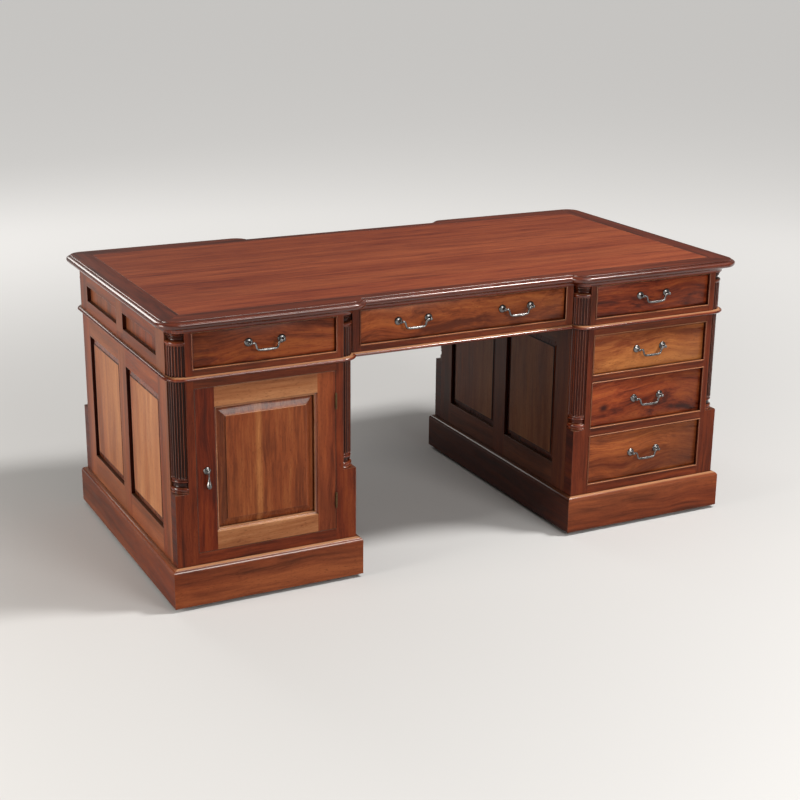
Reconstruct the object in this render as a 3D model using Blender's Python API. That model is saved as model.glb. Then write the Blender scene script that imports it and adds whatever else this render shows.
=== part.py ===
# Executive desk in mahogany: a moulded top and a case of three drawers on two pedestals.
# Metres, +Z up. The desk runs along X, its front faces -Y, and it stands on the floor at zero.

import math

import bmesh
import bpy
from mathutils import Matrix, Vector

for leftover in list(bpy.data.objects):
    bpy.data.objects.remove(leftover, do_unlink=True)

# Clearances and overlaps
hairline = 0.0003  # between pieces that touch
reveal = 0.0009  # round a drawer front or the door, inside its opening
box_clearance = 0.0030  # at each side of a drawer box
sink = 0.0010  # how far shapes of one piece run into each other
overrun = 0.0050  # how far a cut runs past what it cuts

# Heights, from the floor up
glide_height = 0.0100
plinth_height = 0.1085
pedestal_height = 0.5080
waist_height = 0.0121
case_height = 0.1319
top_thickness = 0.0215

# Plan of the case and of the pedestals
case_half_length = 0.8690
case_half_depth = 0.4300
breakfront_recess = 0.0313
case_rebate = 0.0404
pedestal_setback = 0.0025
pedestal_width = 0.5151
pedestal_rebate = 0.0373
stile_width = 0.0220
frame_thickness = 0.0220
panel_recess = 0.0110

# Plinth and glides
plinth_projection = 0.0155
plinth_wall = 0.0400
plinth_rounding = 0.0120
corner_block = 0.0750
glide_radius = 0.0160
glide_inset = 0.0480

# Top
top_corner = 0.0220  # radius of its corners in line with the faces of the case
arris_offset = 0.0180
top_bead = 0.0018
top_fillet = 0.0022
top_ovolo = 0.0102
nosing_drop = 0.0110
nosing_return = 0.0080
border_width = 0.0600
border_ledge = 0.0120
field_thickness = 0.0160
cove_foot = 0.0016
cove_height = 0.0169
cove_reach = 0.0175
waist_reach = 0.0100
waist_clearance = 0.0011  # behind the waist, before the posts of the case face

# Case face
case_sill = 0.0192
case_head = 0.0016  # between a drawer opening and the cove
centre_stile = 0.0249
dust_board_rise = 0.0029  # above the waist
runner_width = 0.0450
end_middle_stile = 0.0600
end_outer_stile = 0.0713
end_bottom_rail = 0.0334
end_top_rail = 0.0525

# Pedestal face
door_sill = 0.0335
door_head = 0.0215
low_drawer_sill = 0.0305
low_rail = 0.0290
middle_rail = 0.0265
drawer_head = 0.0235
drawer_height_shares = (0.369, 0.340, 0.291)  # of what sill, rails and head leave, from the lowest up
side_middle_stile = 0.0680
side_outer_stile = 0.0721
side_bottom_rail = 0.0738
side_top_rail = 0.0600
bottom_board_thickness = 0.0190
web_thickness = 0.0180
web_rail = 0.0500
shelf_height = 0.2450
shelf_thickness = 0.0180
shelf_setback = 0.0300

# Bead round each drawer opening
bead_width = 0.0040
bead_reach = 0.0028
top_bead_share = 0.3  # of the bead's width, where it runs close under the cove

# Quarter columns
block_height = 0.2033
column_clearance = 0.0010  # inside the faces on either side
shaft_inset = 0.0020
flute_depth = 0.0024
base_height = 0.0412
base_hollow = 0.0060  # how deep the turning of a base goes
capital_drop = 0.0500
capital_neck = 0.0085  # how deep the turning of a capital goes

# Drawers
front_inset = 0.0060
front_thickness = 0.0190
drawer_length = 0.6000
drawer_wall = 0.0120
drawer_floor = 0.0080
drawer_headroom = 0.0180

# Door
door_thickness = 0.0200
door_stile = 0.0600
door_top_rail = 0.0610
door_bottom_rail = 0.0580
sticking_width = 0.0065
sticking_depth = 0.0070
panel_rebate = 0.0080
panel_tongue = 0.0050
field_bevel = 0.0235
field_step = 0.0020
field_rise = 0.0110
hinge_length = 0.0450
hinge_radius = 0.0026
hinge_clearance = 0.0005  # between the knuckles and the door's face
leaf_thickness = 0.0016
leaf_width = 0.0150
upper_hinge_inset = 0.0847  # from the door opening's top to the hinge's middle
lower_hinge_inset = 0.0854

# Bail handles
rose_spacing = 0.0920
rose_radius = 0.0115
rose_height = 0.0052
post_radius = 0.0029
post_length = 0.0215
knob_radius = 0.0046
bail_wire = 0.0025
bail_journal = 0.0057  # from a post to the bail's elbow
bail_elbow = 0.0030
bail_pinch = 0.0022  # by which the bail narrows from its elbows to its corners
bail_drop = 0.0197
bail_corner = 0.0080
case_handle_rise = 0.0051  # above the middle of the drawer
centre_handle_share = 0.503  # of the centre opening's half length
pedestal_handle_rise = 0.0030

# Drop pull of the door
pull_inset = 0.0282
pull_height = 0.2605
pull_rose_radius = 0.0100
pull_out = 0.0150
pull_length = 0.0470
pull_radius = 0.0072
pull_ball_share = 0.5  # of the drop's radius

# Counts
corner_steps = 5
inner_corner_steps = 4
profile_steps = 4
flute_count = 7
turned_steps = 5
rose_steps = 8
wire_sides = 6

# Levels and planes that follow from the sizes
plinth_top = glide_height + plinth_height
pedestal_top = plinth_top + pedestal_height
case_base = pedestal_top + waist_height
case_top = case_base + case_height
desk_top = case_top + top_thickness
centre_half_depth = case_half_depth - breakfront_recess
pedestal_half_depth = case_half_depth - pedestal_setback
pedestal_half_width = pedestal_width / 2
pedestal_centre = case_half_length - pedestal_setback - pedestal_half_width
wing_half_width = pedestal_half_width + pedestal_setback
opening_half = pedestal_half_width - pedestal_rebate - stile_width
post_inner = opening_half + hairline
block_top = plinth_top + block_height
waist_width = case_rebate + frame_thickness - breakfront_recess - waist_clearance
hinge_out = hinge_radius + hinge_clearance
bail_out = post_length - knob_radius
pull_ring = pull_radius * pull_ball_share + hairline
pedestal_interior = pedestal_half_width - frame_thickness
wing_interior = wing_half_width - frame_thickness


# Materials

def principled(name, red, green, blue, roughness, metallic=0.0):
    material = bpy.data.materials.new(name)
    material.use_nodes = True
    shader = material.node_tree.nodes["Principled BSDF"]
    shader.inputs["Base Color"].default_value = (red, green, blue, 1.0)
    shader.inputs["Roughness"].default_value = roughness
    shader.inputs["Metallic"].default_value = metallic
    material.diffuse_color = (red, green, blue, 1.0)
    return material


frame_wood = principled("mahogany_frame", 0.165, 0.045, 0.018, 0.34)
face_wood = principled("mahogany_face", 0.250, 0.075, 0.026, 0.32)
top_wood = principled("mahogany_top", 0.200, 0.050, 0.020, 0.26)
border_wood = principled("mahogany_border", 0.140, 0.034, 0.015, 0.26)
lining_wood = principled("drawer_lining", 0.420, 0.270, 0.140, 0.60)
hardware_metal = principled("aged_nickel", 0.230, 0.215, 0.190, 0.36, 1.0)
hinge_metal = principled("aged_brass", 0.330, 0.240, 0.120, 0.38, 1.0)


# Solids

def solid(rings, closed):
    """A body through rings of equal length, closed on itself or capped at both ends."""
    body = bmesh.new()
    loops = [[body.verts.new(point) for point in ring] for ring in rings]
    pairs = list(zip(loops, loops[1:]))
    if closed:
        pairs.append((loops[-1], loops[0]))
    else:
        body.faces.new(loops[0])
        body.faces.new(loops[-1])
    for first, second in pairs:
        for index in range(len(first)):
            after = (index + 1) % len(first)
            body.faces.new((first[index], first[after], second[after], second[index]))
    bmesh.ops.recalc_face_normals(body, faces=body.faces)
    return finished(body)


def finished(body):
    mesh = bpy.data.meshes.new("shape")
    body.to_mesh(mesh)
    body.free()
    return mesh


def prism(plan, bottom, top):
    return solid([[(x, y, z) for x, y in plan] for z in (bottom, top)], False)


def box(left, right, front, back, bottom, top):
    plan = [(left, front), (right, front), (right, back), (left, back)]
    return prism(plan, bottom, top)


def combined(first, second, operation):
    """The Boolean of two meshes, as a new mesh."""
    keeper = bpy.data.objects.new("keeper", first)
    tool = bpy.data.objects.new("tool", second)
    for helper in (keeper, tool):
        bpy.context.scene.collection.objects.link(helper)
    modifier = keeper.modifiers.new("combine", "BOOLEAN")
    modifier.operation = operation
    modifier.solver = "EXACT"
    modifier.object = tool
    bpy.context.view_layer.update()
    graph = bpy.context.evaluated_depsgraph_get()
    mesh = bpy.data.meshes.new_from_object(keeper.evaluated_get(graph))
    for helper in (keeper, tool):
        bpy.data.objects.remove(helper, do_unlink=True)
    return mesh


def joined(first, *others):
    for other in others:
        first = combined(first, other, "UNION")
    return first


def without(first, *others):
    for other in others:
        first = combined(first, other, "DIFFERENCE")
    return first


def moved(mesh, matrix):
    """A copy of a mesh under a matrix. A mirror keeps its faces outward."""
    copy = mesh.copy()
    copy.transform(matrix)
    if matrix.determinant() < 0:
        copy.flip_normals()
    return copy


def shift(x, y, z):
    return Matrix.Translation((x, y, z))


mirror_x = Matrix.Diagonal((-1.0, 1.0, 1.0, 1.0))
mirror_y = Matrix.Diagonal((1.0, -1.0, 1.0, 1.0))
half_turn = Matrix.Rotation(math.pi, 4, "Z")


def place(name, mesh, material, origin=(0.0, 0.0, 0.0), smooth=False):
    """The named piece. Its mesh is drawn round its origin."""
    piece_mesh = mesh.copy()
    piece_mesh.name = name
    piece_mesh.materials.clear()
    piece_mesh.materials.append(material)
    if smooth:
        piece_mesh.shade_smooth()
        piece_mesh.set_sharp_from_angle(angle=math.radians(40.0))
    piece = bpy.data.objects.new(name, piece_mesh)
    piece.location = origin
    bpy.context.scene.collection.objects.link(piece)
    return piece


# Outline of the case at a distance outside its faces. A corner's radius is given in line with the faces.

def case_quarter(offset, corner):
    """From the breakfront's inner corner to the desk's end, for the front right quarter."""
    radius = corner + offset
    centre_y = -(case_half_depth - corner)
    inner_x = pedestal_centre - wing_half_width + corner
    outer_x = case_half_length - corner
    centre_face = -(centre_half_depth + offset)
    depth = centre_y - centre_face
    points = []
    if depth >= 0:
        start = math.asin(depth / radius)
        steps = inner_corner_steps
    else:
        start = 0.0
        steps = inner_corner_steps - 1
        points.append((inner_x - radius, centre_face))
    for step in range(steps + 1):
        angle = start + (math.pi / 2 - start) * step / steps
        points.append((inner_x - radius * math.cos(angle), centre_y - radius * math.sin(angle)))
    for step in range(corner_steps + 1):
        angle = math.pi / 2 * step / corner_steps
        points.append((outer_x + radius * math.sin(angle), centre_y - radius * math.cos(angle)))
    return points


def case_outline(offset, corner):
    front_right = case_quarter(offset, corner)
    back_right = [(x, -y) for x, y in reversed(front_right)]
    back_left = [(-x, -y) for x, y in front_right]
    front_left = [(-x, y) for x, y in reversed(front_right)]
    return front_right + back_right + back_left + front_left


def case_moulding(profile, corner, closed):
    rings = [[(x, y, height) for x, y in case_outline(offset, corner)] for offset, height in profile]
    return solid(rings, closed)


def curve(start, end, bulge_share, steps):
    """Points from start to end on an elliptical quarter: convex above zero, hollow below."""
    points = []
    for step in range(steps + 1):
        angle = math.pi / 2 * step / steps
        if bulge_share > 0:
            across = 1 - math.cos(angle)
            along = math.sin(angle)
        else:
            across = math.sin(angle)
            along = 1 - math.cos(angle)
        points.append((start[0] + (end[0] - start[0]) * along, start[1] + (end[1] - start[1]) * across))
    return points


# Top: a moulded border round a field of boards, with a cove beneath

bead_base = arris_offset + top_bead
fillet_level = desk_top - top_bead - top_fillet
nosing_level = desk_top - nosing_drop
nosing_offset = bead_base + top_ovolo
edge_profile = [(arris_offset, desk_top)]
edge_profile += [(bead_base, desk_top - top_bead), (bead_base, fillet_level)]
edge_profile += curve((bead_base + sink, fillet_level), (nosing_offset + sink, nosing_level), 1, profile_steps)
under_end = (nosing_offset - nosing_return, case_top + hairline)
edge_profile += curve(under_end, (nosing_offset + sink, nosing_level), 1, profile_steps)[-2:0:-1]
edge_profile += [under_end]
slab = case_moulding(edge_profile, top_corner, False)
field_half_length = case_half_length + arris_offset - border_width
field_half_depth = case_half_depth + arris_offset - border_width
field_bottom = desk_top - field_thickness
field_cut = box(-field_half_length, field_half_length, -field_half_depth, field_half_depth,
                field_bottom, desk_top + overrun)
ledge_half_length = field_half_length - border_ledge
ledge_half_depth = field_half_depth - border_ledge
ledge_cut = box(-ledge_half_length, ledge_half_length, -ledge_half_depth, ledge_half_depth,
                case_top - overrun, desk_top + overrun)
place("top_moulded_border", without(slab, field_cut, ledge_cut), border_wood)
place("top_field_panel",
      box(hairline - field_half_length, field_half_length - hairline,
          hairline - field_half_depth, field_half_depth - hairline,
          field_bottom + hairline, desk_top),
      top_wood)

cove_bottom = case_top - cove_height
cove_profile = [(hairline, cove_bottom), (hairline + cove_foot, cove_bottom)]
cove_profile += curve((hairline + cove_foot, cove_bottom + cove_foot), (cove_reach, case_top - cove_foot), -1,
                      profile_steps)
cove_profile += [(cove_reach, case_top), (hairline, case_top)]
place("top_cove_moulding", case_moulding(cove_profile, case_rebate, True), frame_wood)

waist_bottom = pedestal_top + hairline
waist_top = case_base - hairline
waist_middle = (waist_bottom + waist_top) / 2
waist_profile = [(-waist_width, waist_top), (-waist_width, waist_bottom)]
waist_profile += curve((0.0, waist_bottom), (waist_reach, waist_middle), 1, profile_steps)
waist_profile += curve((0.0, waist_top), (waist_reach, waist_middle), 1, profile_steps)[-2::-1]
place("waist_moulding", case_moulding(waist_profile, case_rebate, True), frame_wood)


# Frames with rectangular openings

def rectangle_ring(low_x, high_x, low_z, high_z, y, grow, top_share=1.0):
    """A loop in a plane across Y, grown outward on every side, by a share of it at the top."""
    left, right = low_x - grow, high_x + grow
    bottom, top = low_z - grow, high_z + grow * top_share
    return [(left, y, bottom), (right, y, bottom), (right, y, top), (left, y, top)]


def bead(opening, face, top_share):
    """Half-round bead round an opening, standing proud of the face toward the front."""
    rings = [rectangle_ring(*opening, face + sink, -hairline, top_share),
             rectangle_ring(*opening, face + sink, bead_width, top_share)]
    for step in range(profile_steps):
        angle = math.pi * (step + 0.5) / profile_steps
        grow = bead_width / 2 * (1 + math.cos(angle))
        rings.append(rectangle_ring(*opening, face - bead_reach * math.sin(angle), grow, top_share))
    return solid(rings, True)


def opened(frame, openings, face, depth, top_share=1.0):
    """A frame with a bead round each opening, cut right through."""
    for opening in openings:
        frame = joined(frame, bead(opening, face, top_share))
    for low_x, high_x, low_z, high_z in openings:
        frame = without(frame, box(low_x, high_x, face - overrun, face + depth, low_z, high_z))
    return frame


def panelled(frame, panels, face):
    """A frame with flat panels sunk below its face."""
    for low_x, high_x, low_z, high_z in panels:
        frame = without(frame, box(low_x, high_x, face - overrun, face + panel_recess, low_z, high_z))
    return frame


# Case faces. Each wing stands forward of the centre and is rebated for a quarter column.

def case_half_plan():
    face = -case_half_depth
    rebate_back = face + case_rebate
    post_back = rebate_back + frame_thickness
    centre_face = -centre_half_depth
    wing_inner = pedestal_centre - wing_half_width
    wing_outer = case_half_length
    return [(wing_inner - hairline, centre_face),
            (wing_inner - hairline, rebate_back),
            (wing_inner + case_rebate, rebate_back),
            (wing_inner + case_rebate, face),
            (wing_outer - case_rebate, face),
            (wing_outer - case_rebate, rebate_back),
            (wing_outer - frame_thickness - hairline, rebate_back),
            (wing_outer - frame_thickness - hairline, post_back),
            (pedestal_centre + post_inner, post_back),
            (pedestal_centre + post_inner, face + frame_thickness),
            (pedestal_centre - post_inner, face + frame_thickness),
            (pedestal_centre - post_inner, post_back),
            (wing_inner - hairline, post_back),
            (wing_inner - hairline, centre_face + frame_thickness)]


def case_face():
    right = case_half_plan()
    front_part, back_part = right[:12], right[12:]
    left = [(-x, y) for x, y in reversed(right)]
    return prism(front_part + back_part + left, case_base, case_top)


opening_bottom = case_base + case_sill
opening_top = cove_bottom - case_head
centre_half_opening = pedestal_centre - wing_half_width - centre_stile
wing_opening = (pedestal_centre - opening_half, pedestal_centre + opening_half, opening_bottom, opening_top)
left_wing_opening = (-wing_opening[1], -wing_opening[0], opening_bottom, opening_top)
centre_opening = (-centre_half_opening, centre_half_opening, opening_bottom, opening_top)


def case_openings(shape):
    depth = frame_thickness + overrun
    shape = opened(shape, [wing_opening, left_wing_opening], -case_half_depth, depth, top_bead_share)
    return opened(shape, [centre_opening], -centre_half_depth, depth, top_bead_share)


place("frieze_front_frame", case_openings(case_face()), frame_wood)


# Quarter columns, drawn about the inner corner of their rebate and facing +X and -Y

def turned(profile, first_angle, last_angle, steps):
    """A turned body about Z through profile points of radius and height."""
    rings = []
    for radius, height in profile:
        ring = [(hairline, -hairline, height)]
        for step in range(steps + 1):
            angle = first_angle + (last_angle - first_angle) * step / steps
            ring.append((hairline + radius * math.cos(angle), radius * math.sin(angle) - hairline, height))
        rings.append(ring)
    return solid(rings, False)


def fluted_plan(radius):
    plan = [(hairline, -hairline)]
    pitch = math.pi / 2 / flute_count
    for flute in range(flute_count):
        for along, depth_share in ((0.14, 0.0), (0.32, 0.72), (0.5, 1.0), (0.68, 0.72), (0.86, 0.0)):
            angle = -math.pi / 2 + pitch * (flute + along)
            reach = radius - flute_depth * depth_share
            plan.append((hairline + reach * math.cos(angle), reach * math.sin(angle) - hairline))
        if flute == flute_count - 1:
            plan.append((hairline + radius, -hairline))
        if flute == 0:
            plan.insert(1, (hairline, -radius - hairline))
    return plan


def turned_end(full, hollow, level_shares, inset_shares, bottom, height):
    """A turned quarter whose radius is set in from the full one by shares of a hollow's depth."""
    profile = [(full - hollow * inset, bottom + height * level)
               for level, inset in zip(level_shares, inset_shares)]
    return turned(profile, -math.pi / 2, 0.0, turned_steps)


def column_base(bottom):
    """Foot, torus, deep hollow and a ring under the shaft."""
    level_shares = (0.0, 0.10, 0.12, 0.20, 0.32, 0.38, 0.44, 0.58, 0.70, 0.75, 0.80, 0.86, 1.0)
    inset_shares = (0.0, 0.0, 0.4, 0.0, 0.0, 0.3, 0.8, 1.0, 0.8, 0.3, 0.2, 0.45, 0.4)
    return turned_end(pedestal_rebate - column_clearance, base_hollow, level_shares, inset_shares, bottom, base_height)


def column_capital(bottom):
    """Astragal, waisted neck with two rings, and a cap that spreads toward the cove."""
    level_shares = (0.0, 0.07, 0.19, 0.23, 0.31, 0.39, 0.436, 0.475, 0.535, 0.585, 0.66, 1.0)
    inset_shares = (0.3, 0.0, 0.0, 0.62, 1.0, 1.0, 0.66, 0.85, 0.35, 0.5, 0.0, 0.0)
    return turned_end(case_rebate - column_clearance, capital_neck, level_shares, inset_shares, bottom, capital_drop)


def lower_column():
    base = column_base(block_top + hairline)
    shaft = prism(fluted_plan(pedestal_rebate - column_clearance - shaft_inset),
                  block_top + base_height - sink, pedestal_top)
    return joined(base, shaft)


def upper_column():
    capital = column_capital(case_top - capital_drop)
    shaft = prism(fluted_plan(case_rebate - column_clearance - shaft_inset),
                  case_base, case_top - capital_drop + sink)
    return joined(capital, shaft)


lower_shape = lower_column()
upper_shape = upper_column()
outer_case_corner = shift(case_half_length - case_rebate, case_rebate - case_half_depth, 0.0)
inner_case_corner = shift(pedestal_centre - wing_half_width + case_rebate, case_rebate - case_half_depth, 0.0)
pedestal_corner = shift(pedestal_half_width - pedestal_rebate, pedestal_rebate - pedestal_half_depth, 0.0)
outer_upper = moved(upper_shape, outer_case_corner)
inner_upper = moved(upper_shape, inner_case_corner @ mirror_x)
outer_lower = moved(lower_shape, pedestal_corner)
inner_lower = moved(outer_lower, mirror_x)
place("right_outer_upper_column", outer_upper, frame_wood)
place("right_inner_upper_column", inner_upper, frame_wood)
place("left_outer_upper_column", moved(outer_upper, mirror_x), frame_wood)
place("left_inner_upper_column", moved(inner_upper, mirror_x), frame_wood)


# Back of the case: the same face turned round, with sunk panels and its columns worked on it

def seated(column, toward_x):
    """A column pushed into the stile beside its rebate, so that it joins it."""
    return moved(column, shift(toward_x * sink, 0.0, 0.0))


back_face = panelled(case_face(), [wing_opening, left_wing_opening], -case_half_depth)
back_face = panelled(back_face, [centre_opening], -centre_half_depth)
back_face = joined(back_face,
                   seated(outer_upper, -1), seated(moved(outer_upper, mirror_x), 1),
                   seated(inner_upper, 1), seated(moved(inner_upper, mirror_x), -1))
place("frieze_back_frame", moved(back_face, half_turn), frame_wood)


# Ends of the case, dividers with runners for the centre drawer, and dust boards

def side_frame(half_run, bottom, top, panel_bottom, panel_top, inner, outer):
    """An upright frame facing -Y with two sunk panels, drawn with its outer face at zero."""
    frame = box(-half_run, half_run, 0.0, frame_thickness, bottom, top)
    return panelled(frame, [(-outer, -inner, panel_bottom, panel_top), (inner, outer, panel_bottom, panel_top)], 0.0)


face_right = Matrix.Rotation(math.pi / 2, 4, "Z")
case_run = case_half_depth - case_rebate - hairline
end_shape = side_frame(case_run, case_base, case_top, case_base + end_bottom_rail, case_top - end_top_rail,
                       end_middle_stile / 2, case_run - end_outer_stile)
right_end = moved(end_shape, shift(case_half_length, 0.0, 0.0) @ face_right)
place("frieze_right_end", right_end, frame_wood)
place("frieze_left_end", moved(right_end, mirror_x), frame_wood)

wing_inner_x = pedestal_centre - wing_half_width
post_depth = case_half_depth - case_rebate - frame_thickness - hairline
centre_back = centre_half_depth - frame_thickness - hairline
runner_top = opening_bottom - hairline
runner_bottom = case_base + dust_board_rise
divider_board = box(wing_inner_x, wing_inner_x + frame_thickness, -post_depth, post_depth, waist_bottom, case_top)
divider_runner = box(wing_inner_x - runner_width, wing_inner_x + sink, -post_depth, post_depth,
                     runner_bottom, runner_top)
right_divider = joined(divider_board, divider_runner)
place("frieze_right_divider", right_divider, frame_wood)
place("frieze_left_divider", moved(right_divider, mirror_x), frame_wood)


def notched_board(half_width, half_depth, notch_half_width, notch_half_depth, bottom, top):
    """A board cut away at its corners, where the posts stand."""
    quarter = [(notch_half_width, half_depth), (notch_half_width, notch_half_depth), (half_width, notch_half_depth)]
    plan = [(x, -y) for x, y in quarter]
    plan += [(x, y) for x, y in reversed(quarter)]
    plan += [(-x, y) for x, y in quarter]
    plan += [(-x, -y) for x, y in reversed(quarter)]
    return prism(plan, bottom, top)


dust_board = notched_board(wing_interior - hairline, case_half_depth - frame_thickness - hairline,
                           opening_half - hairline, post_depth, runner_bottom, runner_top)
place("right_dust_board", moved(dust_board, shift(pedestal_centre, 0.0, 0.0)), lining_wood)
place("left_dust_board", moved(dust_board, shift(-pedestal_centre, 0.0, 0.0)), lining_wood)


# Pedestal pieces, drawn about the pedestal's own middle

def pedestal_face():
    face = -pedestal_half_depth
    rebate_back = face + pedestal_rebate
    post_back = rebate_back + frame_thickness
    inside = pedestal_interior - hairline
    right = [(pedestal_half_width, face),
             (pedestal_half_width, rebate_back),
             (inside, rebate_back),
             (inside, post_back),
             (post_inner, post_back),
             (post_inner, face + frame_thickness)]
    shape = prism(right + [(-x, y) for x, y in reversed(right)], plinth_top + hairline, pedestal_top)
    notch = box(pedestal_half_width - pedestal_rebate, pedestal_half_width + overrun,
                face - overrun, rebate_back, block_top, pedestal_top + overrun)
    return without(shape, notch, moved(notch, mirror_x))


door_bottom = plinth_top + door_sill
door_top = pedestal_top - door_head
drawer_room = pedestal_height - low_drawer_sill - low_rail - middle_rail - drawer_head
low_height, middle_height, high_height = (drawer_room * share for share in drawer_height_shares)
low_bottom = plinth_top + low_drawer_sill
low_top = low_bottom + low_height
middle_bottom = low_top + low_rail
middle_top = middle_bottom + middle_height
high_bottom = middle_top + middle_rail
high_top = high_bottom + high_height
drawer_levels = [(low_bottom, low_top), (middle_bottom, middle_top), (high_bottom, high_top)]
to_right = shift(pedestal_centre, 0.0, 0.0)
to_left = shift(-pedestal_centre, 0.0, 0.0)
pedestal_blank = pedestal_face()

left_face = without(pedestal_blank, box(-opening_half, opening_half, -pedestal_half_depth - overrun,
                                        overrun - pedestal_half_depth + frame_thickness, door_bottom, door_top))
place("left_front_frame", moved(left_face, to_left), frame_wood)
drawer_openings = [(-opening_half, opening_half, bottom, top) for bottom, top in drawer_levels]
right_face = opened(pedestal_blank, drawer_openings, -pedestal_half_depth, frame_thickness + overrun)
place("right_front_frame", moved(right_face, to_right), frame_wood)

back_blank = panelled(pedestal_blank, [(-opening_half, opening_half, door_bottom, door_top)], -pedestal_half_depth)
back_blank = joined(back_blank, seated(outer_lower, -1), seated(inner_lower, 1))
place("left_back_panel", moved(back_blank, to_left @ half_turn), frame_wood)
place("right_back_panel", moved(back_blank, to_right @ half_turn), frame_wood)

side_run = pedestal_half_depth - pedestal_rebate - hairline
side_shape = side_frame(side_run, plinth_top + hairline, pedestal_top, plinth_top + side_bottom_rail,
                        pedestal_top - side_top_rail, side_middle_stile / 2, side_run - side_outer_stile)
outer_side = moved(side_shape, shift(pedestal_half_width, 0.0, 0.0) @ face_right)
inner_side = moved(outer_side, mirror_x)
place("right_outer_side", moved(outer_side, to_right), frame_wood)
place("right_inner_side", moved(inner_side, to_right), frame_wood)
place("left_outer_side", moved(inner_side, to_left), frame_wood)
place("left_inner_side", moved(outer_side, to_left), frame_wood)
place("right_outer_lower_column", moved(outer_lower, to_right), frame_wood)
place("right_inner_lower_column", moved(inner_lower, to_right), frame_wood)
place("left_outer_lower_column", moved(inner_lower, to_left), frame_wood)
place("left_inner_lower_column", moved(outer_lower, to_left), frame_wood)


# Plinth with a rounded top edge, corner blocks inside and a glide under each corner

def plinth_loop(grow, height):
    half_x = pedestal_half_width + grow
    half_y = pedestal_half_depth + grow
    return [(-half_x, -half_y, height), (half_x, -half_y, height), (half_x, half_y, height), (-half_x, half_y, height)]


plinth_edge = curve((plinth_projection, plinth_top - plinth_rounding),
                    (plinth_projection - plinth_rounding, plinth_top), -1, profile_steps)
plinth_rings = [plinth_loop(plinth_projection - plinth_wall, plinth_top),
                plinth_loop(plinth_projection - plinth_wall, glide_height),
                plinth_loop(plinth_projection, glide_height)]
plinth_rings += [plinth_loop(grow, height) for grow, height in plinth_edge]
plinth = solid(plinth_rings, True)
block_x = pedestal_half_width + plinth_projection - plinth_wall + sink
block_y = pedestal_half_depth + plinth_projection - plinth_wall + sink
glide_x = pedestal_half_width + plinth_projection - glide_inset
glide_y = pedestal_half_depth + plinth_projection - glide_inset
block = box(block_x - corner_block, block_x, -block_y, corner_block - block_y, glide_height, plinth_top - plinth_wall)
glide = prism([(glide_x + glide_radius * math.cos(math.tau * step / rose_steps),
                glide_radius * math.sin(math.tau * step / rose_steps) - glide_y) for step in range(rose_steps)],
              0.0, glide_height + sink)
corner = joined(block, glide)
for matrix in (Matrix.Identity(4), mirror_x, mirror_y, mirror_x @ mirror_y):
    plinth = joined(plinth, moved(corner, matrix))
place("left_plinth", moved(plinth, to_left), frame_wood)
place("right_plinth", moved(plinth, to_right), frame_wood)


# Boards inside the pedestals

board_half_width = pedestal_interior - hairline
board_half_depth = pedestal_half_depth - frame_thickness - hairline
pedestal_post = pedestal_half_depth - pedestal_rebate - frame_thickness - hairline


def pedestal_board(bottom, top):
    return notched_board(board_half_width, board_half_depth, opening_half - hairline, pedestal_post, bottom, top)


def web_frame(top):
    board = pedestal_board(top - web_thickness, top)
    hollow = box(web_rail - board_half_width, board_half_width - web_rail,
                 web_rail - pedestal_post, pedestal_post - web_rail, top - web_thickness - overrun, top + overrun)
    return without(board, hollow)


left_floor = door_bottom - hairline
right_floor = low_bottom - hairline
place("left_bottom_board", moved(pedestal_board(left_floor - bottom_board_thickness, left_floor), to_left), lining_wood)
place("right_bottom_board", moved(pedestal_board(right_floor - bottom_board_thickness, right_floor), to_right),
      lining_wood)
place("right_lower_web_frame", moved(web_frame(middle_bottom - hairline), to_right), lining_wood)
place("right_upper_web_frame", moved(web_frame(high_bottom - hairline), to_right), lining_wood)
shelf = box(-board_half_width, board_half_width, shelf_setback - pedestal_post, pedestal_post,
            door_bottom + shelf_height, door_bottom + shelf_height + shelf_thickness)
place("left_shelf", moved(shelf, to_left), lining_wood)


# Bail handles

def lathe(profile, steps):
    """A turned body about -Y, from points of radius and distance out."""
    rings = []
    for radius, out in profile:
        rings.append([(radius * math.cos(math.tau * step / steps), -out, radius * math.sin(math.tau * step / steps))
                      for step in range(steps)])
    return solid(rings, False)


def rose_and_post():
    """Domed rose with a short post and a ball end that holds the bail."""
    shoulder = post_length - 2 * knob_radius
    profile = [(rose_radius, -sink), (rose_radius, rose_height * 0.2), (rose_radius * 0.78, rose_height * 0.75),
               (post_radius * 1.5, rose_height), (post_radius, rose_height + post_radius), (post_radius, shoulder)]
    for share in (0.25, 0.5, 0.75):
        angle = math.pi * share
        profile.append((knob_radius * math.sin(angle), shoulder + knob_radius * (1 - math.cos(angle))))
    profile.append((post_radius / 3, post_length))
    return lathe(profile, rose_steps)


def bail():
    """Drop handle: short arms from the posts, upright sides and a straight grip with round corners."""
    tip = rose_spacing / 2 - knob_radius - hairline
    arm = tip - bail_journal - bail_elbow
    grip = arm - bail_pinch - bail_corner
    path = [(tip, 0.0)]
    for share in (0.0, 0.5, 1.0):
        angle = math.pi / 2 * share
        path.append((arm + bail_elbow * (1 - math.sin(angle)), -bail_elbow * (1 - math.cos(angle))))
    path.append((arm - bail_pinch * 0.2, (bail_corner - bail_drop - bail_elbow) / 2))
    for share in (0.0, 0.5, 1.0):
        angle = math.pi / 2 * share
        path.append((grip + bail_corner * math.cos(angle), bail_corner * (1 - math.sin(angle)) - bail_drop))
    right = path + [(0.0, -bail_drop)]
    points = [Vector((x, 0.0, z)) for x, z in right]
    points += [Vector((-x, 0.0, z)) for x, z in reversed(path)]
    return tube(points, bail_wire)


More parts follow.
